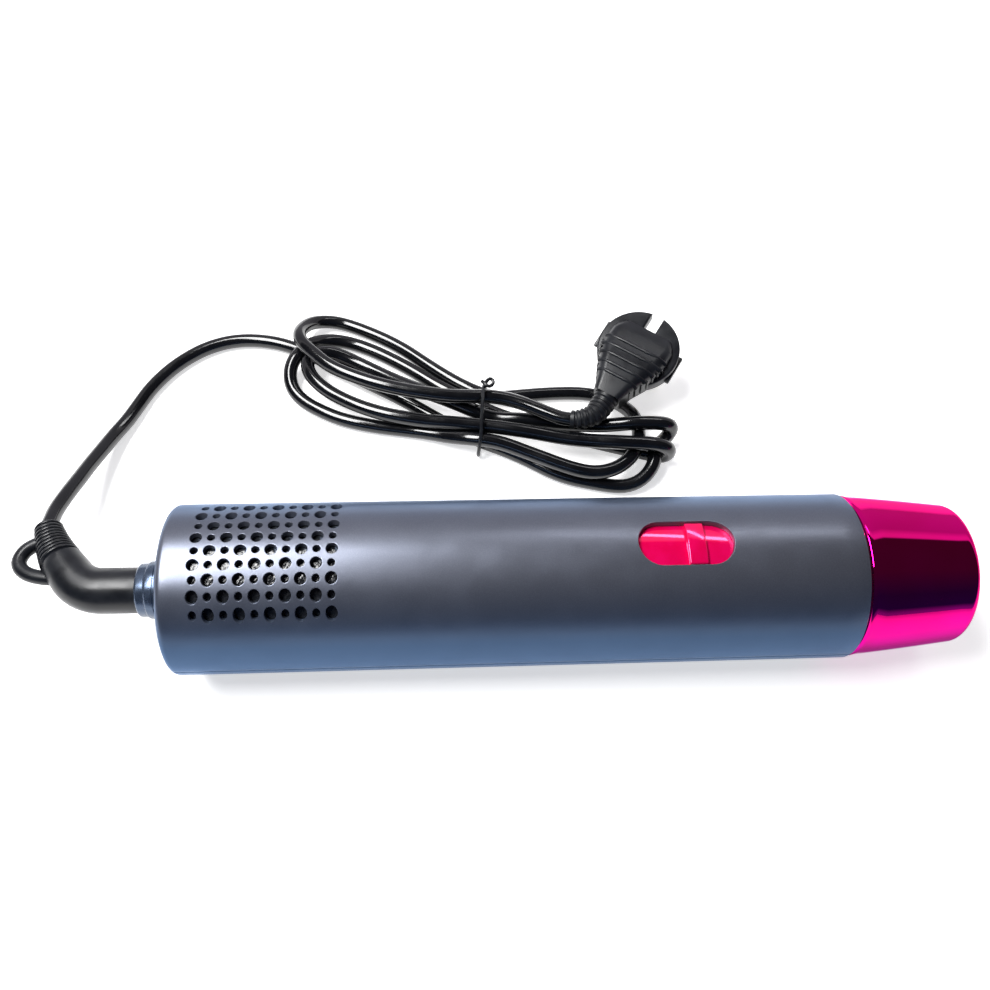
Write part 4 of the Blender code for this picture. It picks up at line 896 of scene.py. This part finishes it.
def addNozzle():
    bm = bmesh.new()
    back, front, length, tip = (nozzleSize[key] for key in ("back", "front", "length", "tip"))
    slope = (front - back) / length
    end = length - tip
    edge = back + slope * end
    cone = [(x, back + slope * x + 0.16 * math.sin(math.pi * x / end)) for x in (3.2, 7, 11, 15, 19, 23, 27, 31, 35)]
    outlet = nozzleSize["outlet"]
    profile = [
        (-9.6, 25.4), (-10, 25.8), (-10, 27.1), (-9.6, 27.5), (0.3, 27.5), (0.3, 28.3), (0.5, 28.5), (0.8, 28.5),
        (1.0, 28.7), (1.25, 29.0),
        (1.6, 29.22), (2.2, 29.28), *cone, *arcOf((end, edge - tip), tip, 90, 4, 10), (length, edge - tip - 0.6),
        (length, outlet + 1.0), (length - 0.25, outlet + 0.3), (length - 0.9, outlet),
        (34, outlet), (20, outlet), (6, outlet), (2, 25.4),
    ]
    lathe(bm, profile, 128)
    tidy(bm)
    place = axisFrame @ Matrix.Translation((shellSize["length"] * mm, 0, 0))
    return pieceFrom(bm, "nozzle", "handle", "magenta_chrome", ["nozzle"], coats["magenta_chrome"], place, 40)


addNozzle()
print("nozzle made")


# the slider is a curved plate with a thumb ridge, and a fork that holds the lever
sliderSize = {
    "radius": 27.5, "thick": 1.6, "halfWidth": 9.7, "rest": 179.2, "reach": 22.0, "shift": 0.4,
    "ridge": 6.4, "height": 1.9, "ridgeHalf": 7.7,
}


def curvedBlock(bm, x0, x1, half, outer, inner, across, along=1):
    # a block whose top and bottom follow the tube
    made = bmesh.ops.create_grid(bm, x_segments=along, y_segments=across, size=0.5)["verts"]
    for v in made:
        x = x0 + (x1 - x0) * (v.co.x + 0.5)
        y = 2 * half * v.co.y
        v.co = Vector((x, y, math.sqrt(outer**2 - y**2))) * mm
    faces = list({f for v in made for f in v.link_faces})
    grown = bmesh.ops.extrude_face_region(bm, geom=faces)["geom"]
    verts = [g for g in grown if isinstance(g, bmesh.types.BMVert)]
    for v in verts:
        v.co.z = math.sqrt((inner * mm) ** 2 - v.co.y**2)
    return made + verts


def addSlider():
    bm = bmesh.new()
    radius, thick, ridge = sliderSize["radius"], sliderSize["thick"], sliderSize["ridge"]
    shift, reach = sliderSize["shift"], sliderSize["reach"]
    curvedBlock(bm, shift - reach, shift + reach, sliderSize["halfWidth"], radius, radius - thick, 24)
    crest = radius + sliderSize["height"]
    curvedBlock(bm, -ridge / 2, ridge / 2, sliderSize["ridgeHalf"], crest, radius - thick + 0.4, 18)
    bmesh.ops.recalc_face_normals(bm, faces=bm.faces)
    soften(bm, sharpEdges(bm, 60), 0.45 * mm, 3)
    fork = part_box("switch_slider")[0][2] - axisZ
    for side in (-1, 1):
        near = (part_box("switch_lever")[1][0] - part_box("switch_lever")[0][0]) / 2 + 0.3 * mm
        leg = bmesh.ops.create_cube(bm, size=1.0)["verts"]
        top = (radius - thick + 0.6) * mm
        bmesh.ops.scale(bm, vec=(1.6 * mm, 6 * mm, top - fork), verts=leg)
        bmesh.ops.translate(bm, vec=(side * (near + 0.8 * mm), 0, (top + fork) / 2), verts=leg)
    place = axisFrame @ Matrix.Translation((sliderSize["rest"] * mm, 0, 0))
    return pieceFrom(bm, "switchSlider", "slider", "magenta_chrome", ["switch_slider"], sliderLacquer, place, 35)


addSlider()
print("slider made")


# floor, lamps and room
light = {
    "floor": 0.86,
    "floorGlow": 0.62,
    "world": 1.0,
    # brightness of the room by the angle from overhead, positive towards the front, in degrees
    "room": [
        (-180, (0.8, 0.8, 0.8)), (-92, (0.62, 0.60, 0.66)), (-48, (0.50, 0.48, 0.52)), (-39, (0.85, 0.82, 0.84)),
        (-34, (0.85, 0.82, 0.84)), (-31, (0.05, 0.042, 0.046)), (20, (0.045, 0.04, 0.05)), (58, (0.015, 0.03, 0.07)),
        (80, (0.015, 0.04, 0.10)), (88, (0.2, 0.28, 0.48)), (140, (0.8, 0.8, 0.8)),
    ],
    "key": 13.0,
    "fill": 1.2,
}
bpy.context.scene.view_settings.view_transform = "Standard"


def addStage():
    bm = bmesh.new()
    bmesh.ops.create_grid(bm, x_segments=1, y_segments=1, size=3.0)
    mesh = bpy.data.meshes.new("floor")
    bm.to_mesh(mesh)
    bm.free()
    floor = bpy.data.objects.new("floor", mesh)
    white = colour(light["floor"], light["floor"], light["floor"])
    fixed = {
        "Base Color": white, "Roughness": 0.9, "Specular IOR Level": 0.1, "Emission Color": colour(1, 1, 1),
        "Emission Strength": light["floorGlow"],
    }
    mesh.materials.append(finish("floorWhite", fixed))
    bpy.context.scene.collection.objects.link(floor)
    world = bpy.data.worlds.new("studio")
    bpy.context.scene.world = world
    world.use_nodes = True
    tree = world.node_tree
    wire = Wire(tree)
    way = wire.add("ShaderNodeTexCoord", out=0)
    forward = wire.add("ShaderNodeSeparateXYZ", {}, {0: way}, 1)
    upward = wire.add("ShaderNodeSeparateXYZ", {}, {0: way}, 2)
    angle = wire.math("ARCTAN2", 0 - forward, upward) / math.tau + 0.5
    stops = [((degrees + 180) / 360, shade) for degrees, shade in light["room"]]
    room = wire.add("ShaderNodeValToRGB", {"stops": stops}, {0: angle})
    back = tree.nodes["Background"]
    seen = wire.add("ShaderNodeLightPath", out=0)
    tree.links.new(seen.tint(room, colour(0.95, 0.95, 0.96)).socket, back.inputs["Color"])
    back.inputs["Strength"].default_value = light["world"]


def addLamp(name, place, aim, size, power, tint=(1, 1, 1)):
    data = bpy.data.lights.new(name, "AREA")
    data.shape = "RECTANGLE"
    data.size, data.size_y = size
    data.energy = power
    data.color = tint
    lamp = bpy.data.objects.new(name, data)
    turn = (Vector(aim) - Vector(place)).to_track_quat("-Z", "Y").to_matrix().to_4x4()
    lamp.matrix_world = Matrix.Translation(place) @ turn
    bpy.context.scene.collection.objects.link(lamp)


addStage()
addLamp("softboxLeft", (-0.37, 0.12, 0.78), (-0.06, 0.02, 0.03), (0.62, 0.24), light["key"])
addLamp("softboxBack", (0.30, 0.62, 0.82), (0.05, 0.05, 0.0), (0.5, 0.08), light["fill"])
print("stage set")
